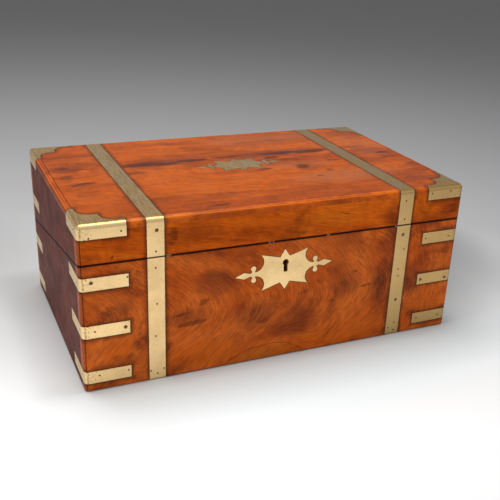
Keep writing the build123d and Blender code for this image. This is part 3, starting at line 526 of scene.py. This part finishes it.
def sideGrimeAndLight(xyz):
    look = grimeAndLightLook
    x, y, z = xyz
    pastEnd = x.size() - (endFace - upright["radius"])
    pastSide = y.size() - (backFace - upright["radius"])
    onEnd, onSide = look["rub"]
    onCorner = pastEnd.between(*onEnd) * pastSide.between(*onSide) * z.between(*look["cornerHighlightRise"])
    crease = (pastEnd - look["crease"]).size().between(0.1, 0.8, 0.75, 0.0) * pastSide.between(1.5, 2.0)
    gap = splitDistance(y, z).size() - seam["gap"] / 2
    layers = [
        # painted highlight on the rounded upright corners
        (onCorner, look["worn"]),
        *brassGrime(xyz, bindingDistance(x, y, z)),
        (crease, look["line"]),
        # painted shade round the foot, where the box meets the floor
        (z.between(look["foot"] / 4, look["foot"], 0.85, 0.0), look["line"]),
        (gap.between(0.0, 2.4, 0.45, 0.0), look["stain"]),
        # painted shade along the split between lid and base
        (gap.between(seam["splitLine"] * 0.5, seam["splitLine"] * 1.5, 1.0, 0.0), look["line"]),
    ]
    front = y.between(-100.0, -90.0, 1.0, 0.0)
    # painted glints on the lip of the split along the front
    for middle, half in look["lipGlints"]:
        long = (x - middle).size().between(half * 0.6, half, 1.0, 0.0)
        lip = (gap - 0.15).size().between(0.0, 0.35, 0.8, 0.0)
        layers.append((long * lip * front, look["lipGlint"]))
    outside = wallDepth(x, y).between(*look["skin"])
    return [(amount * outside, shade) for amount, shade in layers]


def topGrime(xyz):
    x, y, z = xyz
    straps = (x.size() - strapMiddle).size() - strapHalf
    plates = bracketPlanDistance(x, y)
    rim = (panelHigh[0] - x.size()).smallest(panelHigh[1] - y.size())
    layers = brassGrime(xyz, straps.smallest(plates))
    layers.append((rim.between(0.4, 1.0, 0.85, 0.0), grimeAndLightLook["line"]))
    outside = (z - topFace).between(*grimeAndLightLook["skin"])
    return [(amount * outside, shade) for amount, shade in layers]


def edgingGrimeAndHighlight(xyz):
    x, y, z = xyz
    depth = wallDepth(x, y)
    outside = depth.largest(z - topFace).between(-1.9, -1.5)
    fade = x.between(*grimeAndLightLook["arrisFade"])
    # painted highlight along the rounded edge
    arrisHighlight = (depth - (z - topFace)).size().between(0.2, 1.2, 0.42, 0.0) * fade
    layers = [(arrisHighlight, grimeAndLightLook["arrisHighlight"])] + brassGrime(xyz, bindingDistance(x, y, z))
    return [(amount * outside, shade) for amount, shade in layers]


woodFinishes = {  # grime with painted highlights and shade, and gloss
    "baseFront": (sideGrimeAndLight, 0.06),
    "lidFront": (sideGrimeAndLight, 0.04),
    "back": (sideGrimeAndLight, 0.06),
    "end": (sideGrimeAndLight, 0.03),
    "top": (topGrime, 0.03),
    "edgingLong": (edgingGrimeAndHighlight, 0.12),
    "edgingShort": (edgingGrimeAndHighlight, 0.04),
    "fitting": (None, 0.2),
    "crossFitting": (None, 0.2),
}
woods = {name: woodMaterial(name, *finish) for name, finish in woodFinishes.items()}
print("woods:", len(woods))


# Brass
brassLooks = {
    "bindingBrass": {
        # above: painted shade, the duller khaki of the binding's tops
        "clean": (246, 212, 154), "tarnish": (180, 144, 88), "spot": (96, 66, 36), "above": (136, 102, 40),
        "rough": 0.33, "wear": 0.22,
        "shadeToRight": (-30.0, 170.0, 0.0, 0.8),  # painted shade: the binding grows darker towards the right
        "fold": 3.0,  # from the end to the dark line beside the rounded corner: painted shade with some dirt
        "smear": 18.0,  # how far the thinner dirt reaches from the end
    },
    "fittingBrass": {
        "clean": (222, 184, 112), "tarnish": (156, 118, 58), "spot": (96, 66, 32),
        "rough": 0.34, "wear": 0.45,
    },
}


def bindingWearAndShade(xyz, lengthwise, small):
    # Layers on the binding: painted shade, browner to the right and dull on top; dirt at its edges; painted
    # shade with some dirt at its folds; painted shade along the split
    look = brassLooks["bindingBrass"]
    x, y, z = xyz
    upward = z.between(topFace - 2.0, topFace - 0.5)
    edge = bindingDistance(x, y, z).size().between(0.0, 0.7, 0.5, 0.0) * small.between(0.35, 0.6)
    corner = endFace - x.size()
    beside = (y.size() - backFace).between(-1.0, -0.3) * (1.0 - upward)
    fold = (corner - look["fold"]).size().between(0.3, 1.3, 0.6, 0.0) * small.between(0.3, 0.55)
    smear = corner.between(look["fold"], look["smear"], 0.55, 0.0) * small.between(0.5, 0.64)
    gap = splitDistance(y, z).size() - seam["gap"] / 2
    outside = wallDepth(x, y).between(-0.5, -0.2)
    return [
        # painted shade, darker towards the right
        (x.between(*look["shadeToRight"]), look["tarnish"]),
        # painted shade that dulls the binding's tops
        (upward * lengthwise.between(0.36, 0.66, 0.62, 0.95), look["above"]),
        (edge * (1.0 - upward), look["spot"]),
        # painted shade with some dirt at the fold beside the rounded corner, and thinner dirt smeared from
        # the end
        (fold.largest(smear) * beside, look["spot"]),
        # painted shade along the split, across the binding
        (gap.between(0.1, 0.6, 0.9, 0.0) * outside, grimeAndLightLook["line"]),
    ]


def brassMaterial(name, wear):
    # Old brass without lacquer: cloudy tarnish, dark specks and fine scratches
    look = brassLooks[name]
    material, (x, y, z) = newMaterial(name, Metallic=1.0)
    flat = together(x, y, z)
    cloud = noise(flat, 0.035, 5.0, 0.6)
    small = noise(flat, 0.5, 4.0, 0.65)
    specks = noise(flat, 0.9, 1.0, 0.5)
    lengthwise = noise(together(x * 1.6, y * 0.07, z * 0.07), 1.0, 3.0, 0.6)
    oblique = noise(together((x + z + y) * 1.9, (y - z + x * 0.6) * 0.09, 4.0), 1.0, 2.0, 0.6)
    layers = [
        (cloud.between(0.42, 0.68) * look["wear"], look["tarnish"]),
        (small.between(0.5, 0.72) * 0.12, look["tarnish"]),
        # the binding's layers hold painted shade as well as its wear
        *(wear((x, y, z), lengthwise, small) if wear else ()),
        (specks.between(0.73, 0.77) * 0.8, look["spot"]),
    ]
    colour = look["clean"]
    for amount, shade in layers:
        colour = mix(amount, colour, shade)
    marks = lengthwise.between(0.58, 0.7) + oblique.between(0.62, 0.7)
    rough = cloud.between(0.3, 0.7, look["rough"] - 0.04, look["rough"] + 0.08) + marks * 0.05
    return coat(material, colour, rough, bump(cloud * 0.4 + marks * -0.12, 0.10, 0.0003))


def steelMaterial():
    # Filed steel with brown bloom
    material, (x, y, z) = newMaterial("filedSteel", Metallic=1.0)
    filing = noise(together(x * 0.2, y * 3.0, z * 3.0), 1.0, 3.0, 0.6)
    bloom = noise(together(x, y, z), 0.2, 4.0, 0.6)
    colour = mix(bloom.between(0.5, 0.7) * 0.6, (168, 166, 160), (98, 78, 60))
    return coat(material, colour, filing.between(0.3, 0.7, 0.28, 0.45), bump(filing, 0.1, 0.0002))


def leatherMaterial():
    # Dark green skiver with pebbled grain, rubbed browner in the middle
    material, xyz = newMaterial("greenLeather", Specular_IOR_Level=0.35)
    flat = together(*xyz)
    inputs = {"Vector": flat, "Scale": 0.9}
    pebble = addNode(flat.id_data, "ShaderNodeTexVoronoi", inputs, feature="DISTANCE_TO_EDGE")
    pebbles = Field(pebble.outputs["Distance"])
    cloud = noise(flat, 0.03, 5.0, 0.6)
    fine = noise(flat, 2.4, 3.0, 0.6)
    colour = mix(cloud.between(0.35, 0.7), (34, 62, 40), (58, 66, 36))
    colour = mix(pebbles.between(0.0, 0.12, 0.5, 0.0), colour, (16, 28, 18))
    colour = mix(fine.between(0.55, 0.75) * 0.25, colour, (84, 88, 56))
    normal = bump(pebbles + fine * 0.3, 0.35, 0.0004)
    return coat(material, colour, cloud.between(0.3, 0.7, 0.42, 0.6), normal)


def glassMaterial():
    # Clear moulded glass, a little green, with faint ripples
    material, xyz = newMaterial("inkwellGlass", Transmission_Weight=1.0, IOR=1.5)
    ripple = noise(together(*xyz), 0.12, 2.0, 0.5)
    colour = mix(ripple, (236, 246, 240), (214, 234, 226))
    return coat(material, colour, ripple.between(0.3, 0.7, 0.02, 0.06), bump(ripple, 0.2, 0.0005))


def giltMaterial():
    # Gold leaf, rubbed away in small patches
    material, xyz = newMaterial("giltLeaf", Metallic=1.0)
    rub = noise(together(*xyz), 0.5, 4.0, 0.65)
    colour = mix(rub.between(0.5, 0.7), (226, 186, 96), (120, 98, 48))
    return coat(material, colour, rub.between(0.3, 0.7, 0.3, 0.55))


def darkMaterial(name, shade, roughness):
    # Wax, dirt or blackened metal, mottled a little
    material, xyz = newMaterial(name, Specular_IOR_Level=0.2)
    mottled = noise(together(*xyz), 0.8, 3.0, 0.6)
    lighter = tuple(value * 1.5 for value in shade)
    colour = mix(mottled.between(0.4, 0.7), shade, lighter)
    return coat(material, colour, mottled.between(0.3, 0.7, roughness - 0.08, roughness + 0.08))


bindingBrass = brassMaterial("bindingBrass", bindingWearAndShade)
fittingBrass = brassMaterial("fittingBrass", None)
steel = steelMaterial()
leather = leatherMaterial()
glass = glassMaterial()
gilt = giltMaterial()
waxLine = darkMaterial("waxLine", (34, 18, 11), 0.5)
pinMetal = darkMaterial("blackenedPins", (50, 34, 20), 0.5)
screwMetal = darkMaterial("brownScrews", (104, 80, 48), 0.4)


def finishOf(node, slot):
    if slot == "figured_wood":
        half, side = node.split("_")[:2]
        return woods[{"front": f"{half}Front", "back": "back"}.get(side, "end")]
    if slot == "top_veneer":
        return woods["top"]
    if slot == "edging_wood":
        return woods["edgingShort" if node.endswith(("left", "right")) else "edgingLong"]
    if slot == "fitting_wood":
        crosswise = ("cross_partitions", "base_flap_ledges", "lid_flap_ledges", "tray_bearers")
        return woods["crossFitting" if node in crosswise else "fitting"]
    if slot == "binding_brass":
        return bindingBrass
    return {"brass": fittingBrass, "steel": steel, "leather": leather, "glass": glass}[slot]


for part in frame["record"]["subparts"]:
    dressed = nodes[part["node"]]
    finish = finishOf(part["node"], part["material_slot"])
    if dressed.material_slots:
        for held in dressed.material_slots:
            held.material = finish
    else:
        dressed.data.materials.append(finish)
print("finishes on", len(nodes), "nodes")


# Objects and meshes
def addObject(name, data):
    added = bpy.data.objects.new(name, data)
    bpy.context.scene.collection.objects.link(added)
    return added


def newPiece(name, points, polygons, material, body, smooth=False):
    # points in millimetres, polygons as lists of point numbers
    mesh = bpy.data.meshes.new(name)
    mesh.from_pydata((np.asarray(points) * mm).tolist(), [], [tuple(polygon) for polygon in polygons])
    mesh.materials.append(material)
    mesh.polygons.foreach_set("use_smooth", np.full(len(mesh.polygons), smooth))
    mesh.update()
    piece = addObject(name, mesh)
    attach(piece, body)


def gridFaces(rows, columns):
    # Quads of a grid whose columns join up into a ring
    row, column = (part.ravel() for part in np.meshgrid(range(rows - 1), range(columns), indexing="ij"))
    after = (column + 1) % columns
    here = row * columns
    there = here + columns
    return np.stack([there + column, there + after, here + after, here + column], 1)


faces = {  # where a face lies, and its own right, up and outward directions
    "front": ((0, frontFace, 0), (1, 0, 0), (0, 0, 1), (0, -1, 0)),
    "back": ((0, backFace, 0), (-1, 0, 0), (0, 0, 1), (0, 1, 0)),
    "left": ((-endFace, 0, 0), (0, -1, 0), (0, 0, 1), (-1, 0, 0)),
    "right": ((endFace, 0, 0), (0, 1, 0), (0, 0, 1), (1, 0, 0)),
    "top": ((0, 0, topFace), (1, 0, 0), (0, 1, 0), (0, 0, 1)),
}


def onFace(face, flatPoints):
    origin, right, up, outward = (np.array(part, float) for part in faces[face])
    flatPoints = np.asarray(flatPoints, float)
    return origin + flatPoints[..., :1] * right + flatPoints[..., 1:2] * up + flatPoints[..., 2:3] * outward


def facePiece(name, face, shape, material, body, smooth=False):
    # shape is points in a face, with their rise over it, and polygons
    points, polygons = shape
    newPiece(name, onFace(face, points), polygons, material, body, smooth)


def quadShape(quads, rise):
    # Loose four-cornered shapes, lifted off their face
    corners = np.concatenate(quads)
    points = np.column_stack([corners, np.full(len(corners), rise)])
    return points, np.arange(len(points)).reshape(-1, 4)


# Round pins and slotted screws that hold the binding
pin = {"radius": 0.7, "rise": 0.08, "sides": 20, "rings": 5, "tip": 0.04, "lift": 0.01, "hole": 0.7}
screwHead = {"radius": 1.6, "rise": 0.12, "slot": 0.5, "sides": 28, "hole": 0.05}
dirtRing = {"width": 0.2, "rise": 0.02}  # dark ring from each head's hole to beyond its radius

pinPlaces = {
    "front": {
        "base": (
            (-133.4, 118.4), (-132.6, 81.6), (-134.2, 47.7), (-126.4, 10.9), (-139.6, 10.5), (-133.1, 6.6),
            (-159.7, 113.3), (-191.2, 62.8), (-189.0, 15.9), (-161.3, 16.3), (136.3, 101.6), (132.0, 78.8),
            (133.0, 71.0), (135.2, 14.2), (128.3, 8.5), (135.3, 5.0), (191.9, 109.7), (162.8, 110.0),
            (164.1, 14.6), (192.4, 14.2),
        ),
        "lid": (
            (-132.8, 134.6), (-163.9, 158.2), (-192.7, 154.3), (132.0, 155.3), (132.7, 135.3), (163.6, 160.0),
            (186.7, 160.9),
        ),
    },
    "back": {
        "base": (
            (-133.2, 60.0), (-132.4, 30.5), (-137.0, 8.0), (-129.0, 8.4), (133.4, 58.2), (132.8, 28.0),
            (129.4, 7.6), (137.2, 8.2), (-162.4, 62.0), (-190.6, 62.6), (-163.0, 15.0), (-191.0, 14.6),
            (162.0, 62.8), (191.4, 61.8), (163.2, 14.4), (190.2, 15.2),
        ),
        "lid": (
            (-133.0, 154.8), (-132.6, 128.0), (-133.4, 98.6), (133.2, 155.0), (132.6, 126.4), (133.0, 99.0),
            (-162.6, 110.4), (-190.8, 109.8), (162.8, 109.6), (191.2, 110.6), (-163.4, 159.4),
            (-188.2, 158.6), (163.0, 158.8), (187.6, 159.8),
        ),
    },
    "left": {
        "base": (
            (86.4, 110.2), (115.0, 109.6), (87.0, 62.8), (114.2, 61.8), (86.0, 15.2), (115.6, 14.6),
            (-86.2, 62.4), (-114.6, 62.0), (-87.2, 15.0), (-114.0, 15.4),
        ),
        "lid": (
            (87.0, 158.8), (112.0, 159.2), (-86.4, 110.0), (-114.8, 109.4), (-87.4, 159.0), (-112.4, 158.6),
        ),
    },
}
pinPlaces["right"] = {
    body: tuple((-x, z) for x, z in places) for body, places in pinPlaces["left"].items()
}
screwPlaces = {  # middle of the head and the turn of its slot in degrees
    "front": {
        "base": (
            (-192.5, 111.9, 20), (-162.8, 62.8, 75), (133.1, 118.3, 40), (133.7, 42.4, 15), (163.0, 62.0, 60),
            (194.7, 60.2, 30),
        ),
        "lid": ((-131.9, 155.0, 65),),
    },
}


def pinMesh(middles):
    # Each pin: radius and rise of a low dome are functions of turn and ring
    turn = np.linspace(0, 2 * pi, pin["sides"], endpoint=False)
    share = np.linspace(0, 1, pin["rings"])[:, None]
    radius = pin["radius"] * (pin["tip"] + (1 - pin["tip"]) * share)
    rise = pin["rise"] * (1 - share**2)
    dome = np.stack([radius * np.cos(turn), radius * np.sin(turn), rise + 0 * turn], -1).reshape(-1, 3)
    quads = gridFaces(pin["rings"], pin["sides"])
    cap = [list(range(pin["sides"]))]
    points, polygons = [], []
    for middle in middles:
        start = len(points) * len(dome)
        points.append(dome + (*middle, pin["lift"]))
        polygons += [[start + k for k in face] for face in quads.tolist() + cap]
    return np.concatenate(points), polygons


def washer(middles, head):
    # Flat dark ring round each pin or screw
    sides = head["sides"]
    turn = np.linspace(0, 2 * pi, sides, endpoint=False)
    circle = np.stack([np.cos(turn), np.sin(turn), np.full(sides, 0.0)], 1)
    ring = np.concatenate([circle * head["hole"], circle * (head["radius"] + dirtRing["width"])])
    ring[:, 2] = dirtRing["rise"]
    quads = gridFaces(2, sides)
    points = np.concatenate([ring + (*middle, 0.0) for middle in middles])
    polygons = np.concatenate([quads + 2 * sides * k for k in range(len(middles))])
    return points, polygons


def screwMesh(middles):
    # A disc in two halves with a slot between them; each half's rim is an arc cut off by the slot
    radius, sides = screwHead["radius"], screwHead["sides"]
    first = np.arcsin(screwHead["slot"] / 2 / radius)
    turn = np.linspace(first, pi - first, sides)
    rim = gridFaces(2, sides)
    arc = np.stack([radius * np.cos(turn), radius * np.sin(turn)], 1)
    points, polygons = [], []
    for x, z, degrees in middles:
        for flip in (0, pi):
            angle = radians(degrees) + flip
            turned = arc @ np.array([[cos(angle), sin(angle)], [-sin(angle), cos(angle)]])
            start = len(points) * sides
            for rise in (screwHead["rise"], 0.0):
                points.append(np.column_stack([turned + (x, z), np.full(sides, rise)]))
            polygons += [range(start, start + sides), *(rim + start)]
    return np.concatenate(points), polygons


def placeHeads(kind, places, headMesh, metal, head, smooth):
    for face, bodies in places.items():
        for body, middles in bodies.items():
            name = f"{face}{body.capitalize()}{kind}"
            facePiece(name, face, headMesh(middles), metal, body, smooth)
            ring = washer([middle[:2] for middle in middles], head)
            facePiece(f"{name}Rings", face, ring, waxLine, body)


placeHeads("Pins", pinPlaces, pinMesh, pinMetal, pin, True)
placeHeads("Screws", screwPlaces, screwMesh, screwMetal, screwHead, False)
print("pins and screws placed")


# Shapes read from the frame
def triangulated(node):
    # Points in millimetres with doubles merged, and the triangles between them
    mesh = nodes[node].data
    points = np.zeros(len(mesh.vertices) * 3)
    mesh.vertices.foreach_get("co", points)
    mesh.calc_loop_triangles()
    corners = np.zeros(len(mesh.loop_triangles) * 3, int)
    mesh.loop_triangles.foreach_get("vertices", corners)
    keys, merged = np.unique(np.round(points.reshape(-1, 3) / mm, 3), axis=0, return_inverse=True)
    return keys, merged.reshape(-1)[corners].reshape(-1, 3)


def flatFace(node, sign):
    # The outermost flat face that looks up (1) or down (-1): its place and directions, and its corners in it
    keys, triangles = triangulated(node)
    first, second, third = (keys[triangles[:, k]] for k in range(3))
    normals = np.cross(second - first, third - first)
    areas = np.maximum(np.linalg.norm(normals, axis=1), 1e-9)
    normals = normals / areas[:, None]
    best = normals[np.argmax(areas * (normals[:, 2] * sign > 0.9))]
    outermost = (keys @ best).max()
    alike = (normals @ best > 0.999) & (first @ best > outermost - 0.05)
    corners = keys[np.unique(triangles[alike])]
    right = np.array((1.0, 0.0, 0.0))
    up = np.cross(best, right)
    return (best * outermost, right, up, best), np.stack([corners @ right, corners @ up], 1)


# Dark line round the star plates, let into the wood
starLine = {"width": 0.55, "rise": 0.03, "sharpest": 1.6}  # sharpest: the most that a corner widens it


def faceLoops(node, face):
    # Outlines of the part of a node that lies in one face of the box, each as a ring of points in that face
    origin, right, up, outward = (np.array(part, float) for part in faces[face])
    keys, triangles = triangulated(node)
    keys = keys - origin
    flat = np.abs(keys @ outward) < 0.01
    triangles = triangles[flat[triangles].all(1)]
    edges = np.concatenate([triangles[:, [0, 1]], triangles[:, [1, 2]], triangles[:, [2, 0]]])
    present = {tuple(edge) for edge in edges.tolist()}
    after = {a: b for a, b in present if (b, a) not in present}
    loops = []
    while after:
        start, here = after.popitem()
        ring = [start]
        while here != start:
            ring.append(here)
            here = after.pop(here)
        loops.append(np.stack([keys[ring] @ right, keys[ring] @ up], 1))
    return loops


def lineRound(ring):
    # A thin closed band outside a ring: each corner is pushed out along the mean of its two edges' normals
    width, rise, sharpest = (starLine[key] for key in ("width", "rise", "sharpest"))
    before, after = ring - np.roll(ring, 1, 0), np.roll(ring, -1, 0) - ring
    quarter = ((0, -1), (1, 0))
    first, second = (edge @ quarter / np.linalg.norm(edge, axis=1)[:, None] for edge in (before, after))
    mean = first + second
    mean /= np.maximum(np.linalg.norm(mean, axis=1)[:, None], 1e-6)
    stretch = 1 / np.maximum((mean * first).sum(1), 1 / sharpest)[:, None]
    outer = ring + mean * stretch * width
    sections = [(ring, rise), (outer, rise), (outer, -rise), (ring, -rise)]
    points = np.concatenate([np.column_stack([at, np.full(len(at), level)]) for at, level in sections])
    return points, gridFaces(5, len(ring)) % len(points)  # the fifth row is the first again


for node, face, body in (("escutcheon", "front", "base"), ("lid_cartouche", "top", "lid")):
    ring = max(faceLoops(node, face), key=lambda loop: np.ptp(loop[:, 0]))
    facePiece(f"{node}Line", face, lineRound(ring), waxLine, body)
print("star lines drawn")


# Gilt tooling on the leathers: lines, a row of lozenges and a sprig in each corner
tooling = {
    "lines": ((4.0, 0.5), (5.6, 1.5), (12.4, 0.4)),  # distance in from the leather's edge, and width
    "row": {"inset": 9.7, "pitch": 3.6, "long": 1.25, "wide": 0.85},
    "sprigs": (  # lozenges in each corner: place, size and turn
        (17.5, 17.5, 2.2, 45), (21.2, 21.2, 1.5, 45), (18.6, 14.9, 1.3, 0), (14.9, 18.6, 1.3, 90),
        (23.4, 17.6, 1.3, 20), (17.6, 23.4, 1.3, 70),
    ),
    "rise": 0.05,
}


def lozenge(x, y, long, wide, turn):
    ends = np.array(((long, 0), (0, wide), (-long, 0), (0, -wide)))
    c, s = cos(radians(turn)), sin(radians(turn))
    return ends @ np.array(((c, s), (-s, c))) + (x, y)


def giltShapes(low, high):
    # Four-cornered shapes inside a rectangle: mitred bands, then lozenges along each side and in the corners
    shapes = []
    for inset, width in tooling["lines"]:
        (left, bottom), (right, top) = low + inset, high - inset
        outer = np.array([(left, bottom), (right, bottom), (right, top), (left, top)])
        inner = outer - np.sign(outer - (low + high) / 2) * width
        shapes += [np.array((outer[k - 1], outer[k], inner[k], inner[k - 1])) for k in (1, 2, 3, 0)]
    row = tooling["row"]
    for axis in (0, 1):
        length = high[axis] - low[axis] - 2 * row["inset"]
        count = int(length // row["pitch"])
        steps = low[axis] + row["inset"] + (np.arange(count) + 0.5) * length / count
        for edge in (low[1 - axis] + row["inset"], high[1 - axis] - row["inset"]):
            for step in steps:
                x, y = (step, edge) if axis == 0 else (edge, step)
                shapes.append(lozenge(x, y, row["long"], row["wide"], 90 * axis))
    for cornerX, signX in ((low[0], 1), (high[0], -1)):
        for cornerY, signY in ((low[1], 1), (high[1], -1)):
            for x, y, size, turn in tooling["sprigs"]:
                shape = lozenge(x, y, size, size / 2, turn) * (signX, signY) + (cornerX, cornerY)
                shapes.append(shape[:: signX * signY])
    return shapes


for body, sign in (("base_flap", 1), ("lid_flap", -1)):
    faces[body], corners = flatFace(f"{body}_leather", sign)
    shape = quadShape(giltShapes(corners.min(0), corners.max(0)), tooling["rise"])
    facePiece(f"{body}_gilt", body, shape, gilt, body)
print("leathers tooled")


# Slots in the hinge and lock screws: dark flat pieces on the heads, painted shade standing for the cut slots
slotCut = {"length": 3.9, "width": 0.5, "rise": 0.015, "apart": 6.0, "turn": 67}  # turn: from screw to screw
for body, sign in (("base", 1), ("lid", -1)):
    faceName = f"{body}Rim"
    faces[faceName], corners = flatFace(f"{body}_screws", sign)
    heads = []
    for corner in corners:
        if all(np.linalg.norm(corner - head[0]) > slotCut["apart"] for head in heads):
            heads.append([corner])
        else:
            nearest = min(heads, key=lambda head: np.linalg.norm(corner - head[0]))
            nearest.append(corner)
    shapes = []
    for k, head in enumerate(heads):
        middle = (np.min(head, 0) + np.max(head, 0)) / 2
        turn = radians(k * slotCut["turn"] % 180)
        along = np.array((cos(turn), sin(turn))) * slotCut["length"] / 2
        across = np.array((-sin(turn), cos(turn))) * slotCut["width"] / 2
        shapes.append(middle + (-along - across, along - across, along + across, across - along))
    shape = quadShape(shapes, slotCut["rise"])
    facePiece(f"{body}_screw_slots", faceName, shape, waxLine, body)
print("screws slotted:", len(heads))


# Reeded rims of the inkwell caps
reed = {"count": 44, "foot": 1.0, "tip": 0.45, "proud": 0.35, "sunk": 0.1, "low": 0.8, "high": 2.6}


def reedMesh(node):
    # Each reed is an upright bar on the cap's wall, narrower outside; turned about the cap's axis
    low, high = span(node)
    middle = (low + high) / 2
    wall = (high[0] - low[0]) / 2
    root, tip = (wall - reed["sunk"], reed["foot"] / 2), (wall + reed["proud"], reed["tip"] / 2)
    plan = [(root[0], -root[1]), (tip[0], -tip[1]), tip, root]
    bar = np.array([(x, y, z) for z in (low[2] + reed["low"], high[2] - reed["high"]) for x, y in plan])
    sides = np.array([(0, 1, 5, 4), (1, 2, 6, 5), (2, 3, 7, 6), (3, 0, 4, 7), (4, 5, 6, 7), (3, 2, 1, 0)])
    turn = np.arange(reed["count"]) * 2 * pi / reed["count"]
    c, s = np.cos(turn)[:, None], np.sin(turn)[:, None]
    points = np.stack([bar[:, 0] * c - bar[:, 1] * s, bar[:, 0] * s + bar[:, 1] * c, bar[:, 2] + 0 * c], -1)
    polygons = (sides + 8 * np.arange(reed["count"])[:, None, None]).reshape(-1, 4)
    return points.reshape(-1, 3) + (middle[0], middle[1], 0), polygons


for side in ("left", "right"):
    points, polygons = reedMesh(f"{side}_inkwell_cap")
    newPiece(f"{side}_cap_reeds", points, polygons, fittingBrass, f"{side}_cap")
print("caps reeded")


# Camera, fitted to the box's corners in the photograph
camera = {
    "place": (-318.495, -756.748, 416.112),
    "turn": (1.1463, -0.0469, -0.4270),
    "focal": 785.266,  # in pixels of the photograph
    "axis": (272.99, 268.98),  # pixel that the lens looks at
    "frame": 500,
}
lens = bpy.data.cameras.new("camera")
lens.sensor_width = 36.0
lens.lens = lens.sensor_width * camera["focal"] / camera["frame"]
lens.shift_x = 0.5 - camera["axis"][0] / camera["frame"]
lens.shift_y = camera["axis"][1] / camera["frame"] - 0.5
lens.clip_start = 0.05
lens.clip_end = 60.0
viewer = addObject("camera", lens)
viewer.location = np.array(camera["place"]) * mm
viewer.rotation_euler = camera["turn"]
bpy.context.scene.camera = viewer


# Floor: a pale sweep with painted shade: it darkens with its distance from the front
floorLook = {
    "size": 15.0,
    "cool": (242, 251, 252),  # takes out the warm light that the wood throws before the box
    "warm": (20, -150, 300, 130, 0),
    "dim": (((280, 90, 150, 230, 0), 0.42), ((-380, 160, 260, 330, 0), 0.22)),  # soft shade beside each end
    "level": -0.2,
    "rough": 0.9,
    "near": 500.0,  # distance from the camera where the ramp below ends; it starts far away
    # painted shade: the floor darkens away from the camera
    "ramp": (
        (0.0, 146), (0.16, 148), (0.25, 158), (0.35, 165), (0.45, 174), (0.56, 198), (0.67, 226), (0.85, 244),
    ),
}


def makeFloor():
    half = floorLook["size"] / mm
    corners = [(x * half, y * half, floorLook["level"]) for x, y in ((-1, -1), (1, -1), (1, 1), (-1, 1))]
    mesh = bpy.data.meshes.new("floor")
    mesh.from_pydata((np.array(corners) * mm).tolist(), [], [(0, 1, 2, 3)])
    floor = addObject("floor", mesh)
    material, (x, y, z) = newMaterial("paleSweep", Specular_IOR_Level=0.0)
    heading = camera["turn"][2]
    away = ((x - camera["place"][0]) * -sin(heading) + (y - camera["place"][1]) * cos(heading)).largest(200.0)
    nearness = away.power(-1.0) * floorLook["near"]
    ramp = addNode(x.tree, "ShaderNodeValToRGB", {"Fac": nearness})
    stops = ramp.color_ramp.elements
    for k, (at, shade) in enumerate(floorLook["ramp"]):
        stop = stops[k] if k < 2 else stops.new(at)
        stop.position = at
        stop.color = linear(shade, shade, shade)
    colour = ramp.outputs["Color"]
    for spot, strength in floorLook["dim"]:
        colour = mix(softSpot(x, y, spot) * strength, colour, (0, 0, 0))
    warmth = softSpot(x, y, floorLook["warm"])
    colour = mix(warmth, colour, floorLook["cool"], "MULTIPLY")
    mesh.materials.append(coat(material, colour, floorLook["rough"]))


makeFloor()


# Light: two softboxes overhead, and the room's own grey
softboxes = {
    "mainSoftbox": {"place": (-0.20, 0.14, 1.35), "size": (0.75, 0.75), "power": 15.0},
    "edgeSoftbox": {"place": (0.20, -0.10, 1.30), "size": (0.36, 0.2), "power": 3.6},
}
room = {  # brightness of the room towards each side, straight up, and what mirrors see low and high
    "left": 0.12, "right": 0.12, "front": 0.84, "back": 0.50, "up": 0.34, "seenLow": 0.42, "seenHigh": 0.62,
    "soft": 0.4,  # half width of the change from one side to the other
}


def makeLamps():
    for name, look in softboxes.items():
        light = bpy.data.lights.new(name, "AREA")
        light.shape = "RECTANGLE"
        light.size, light.size_y = look["size"]
        light.energy = look["power"]
        addObject(name, light).location = look["place"]


def makeWorld():
    # Each side's share of the light is the square of the direction's part that way
    world = bpy.data.worlds.new("room")
    bpy.context.scene.world = world
    world.use_nodes = True
    tree = world.node_tree
    background = tree.nodes["Background"]
    where = addNode(tree, "ShaderNodeTexCoord").outputs["Generated"]
    parts = addNode(tree, "ShaderNodeSeparateXYZ", {"Vector": where})
    right, back, up = (Field(parts.outputs[k]) for k in range(3))
    rays = addNode(tree, "ShaderNodeLightPath").outputs
    seen = Field(rays["Is Camera Ray"])
    seen = seen.largest(Field(rays["Is Glossy Ray"]), Field(rays["Is Transmission Ray"]))
    soft = room["soft"]
    mirrored = up.between(0.0, soft, room["seenLow"], room["seenHigh"])
    sideways = right.between(-soft, soft, room["left"], room["right"]) * right * right
    lengthways = back.between(-soft, soft, room["front"], room["back"]) * back * back
    ambient = sideways + lengthways + up * up * room["up"]
    feed(seen * mirrored + (1.0 - seen) * ambient, background.inputs["Strength"])
    background.inputs["Color"].default_value = (1.0, 1.0, 1.0, 1.0)


makeLamps()
makeWorld()
bpy.context.scene.view_settings.view_transform = "Standard"
print("camera, floor and light ready")
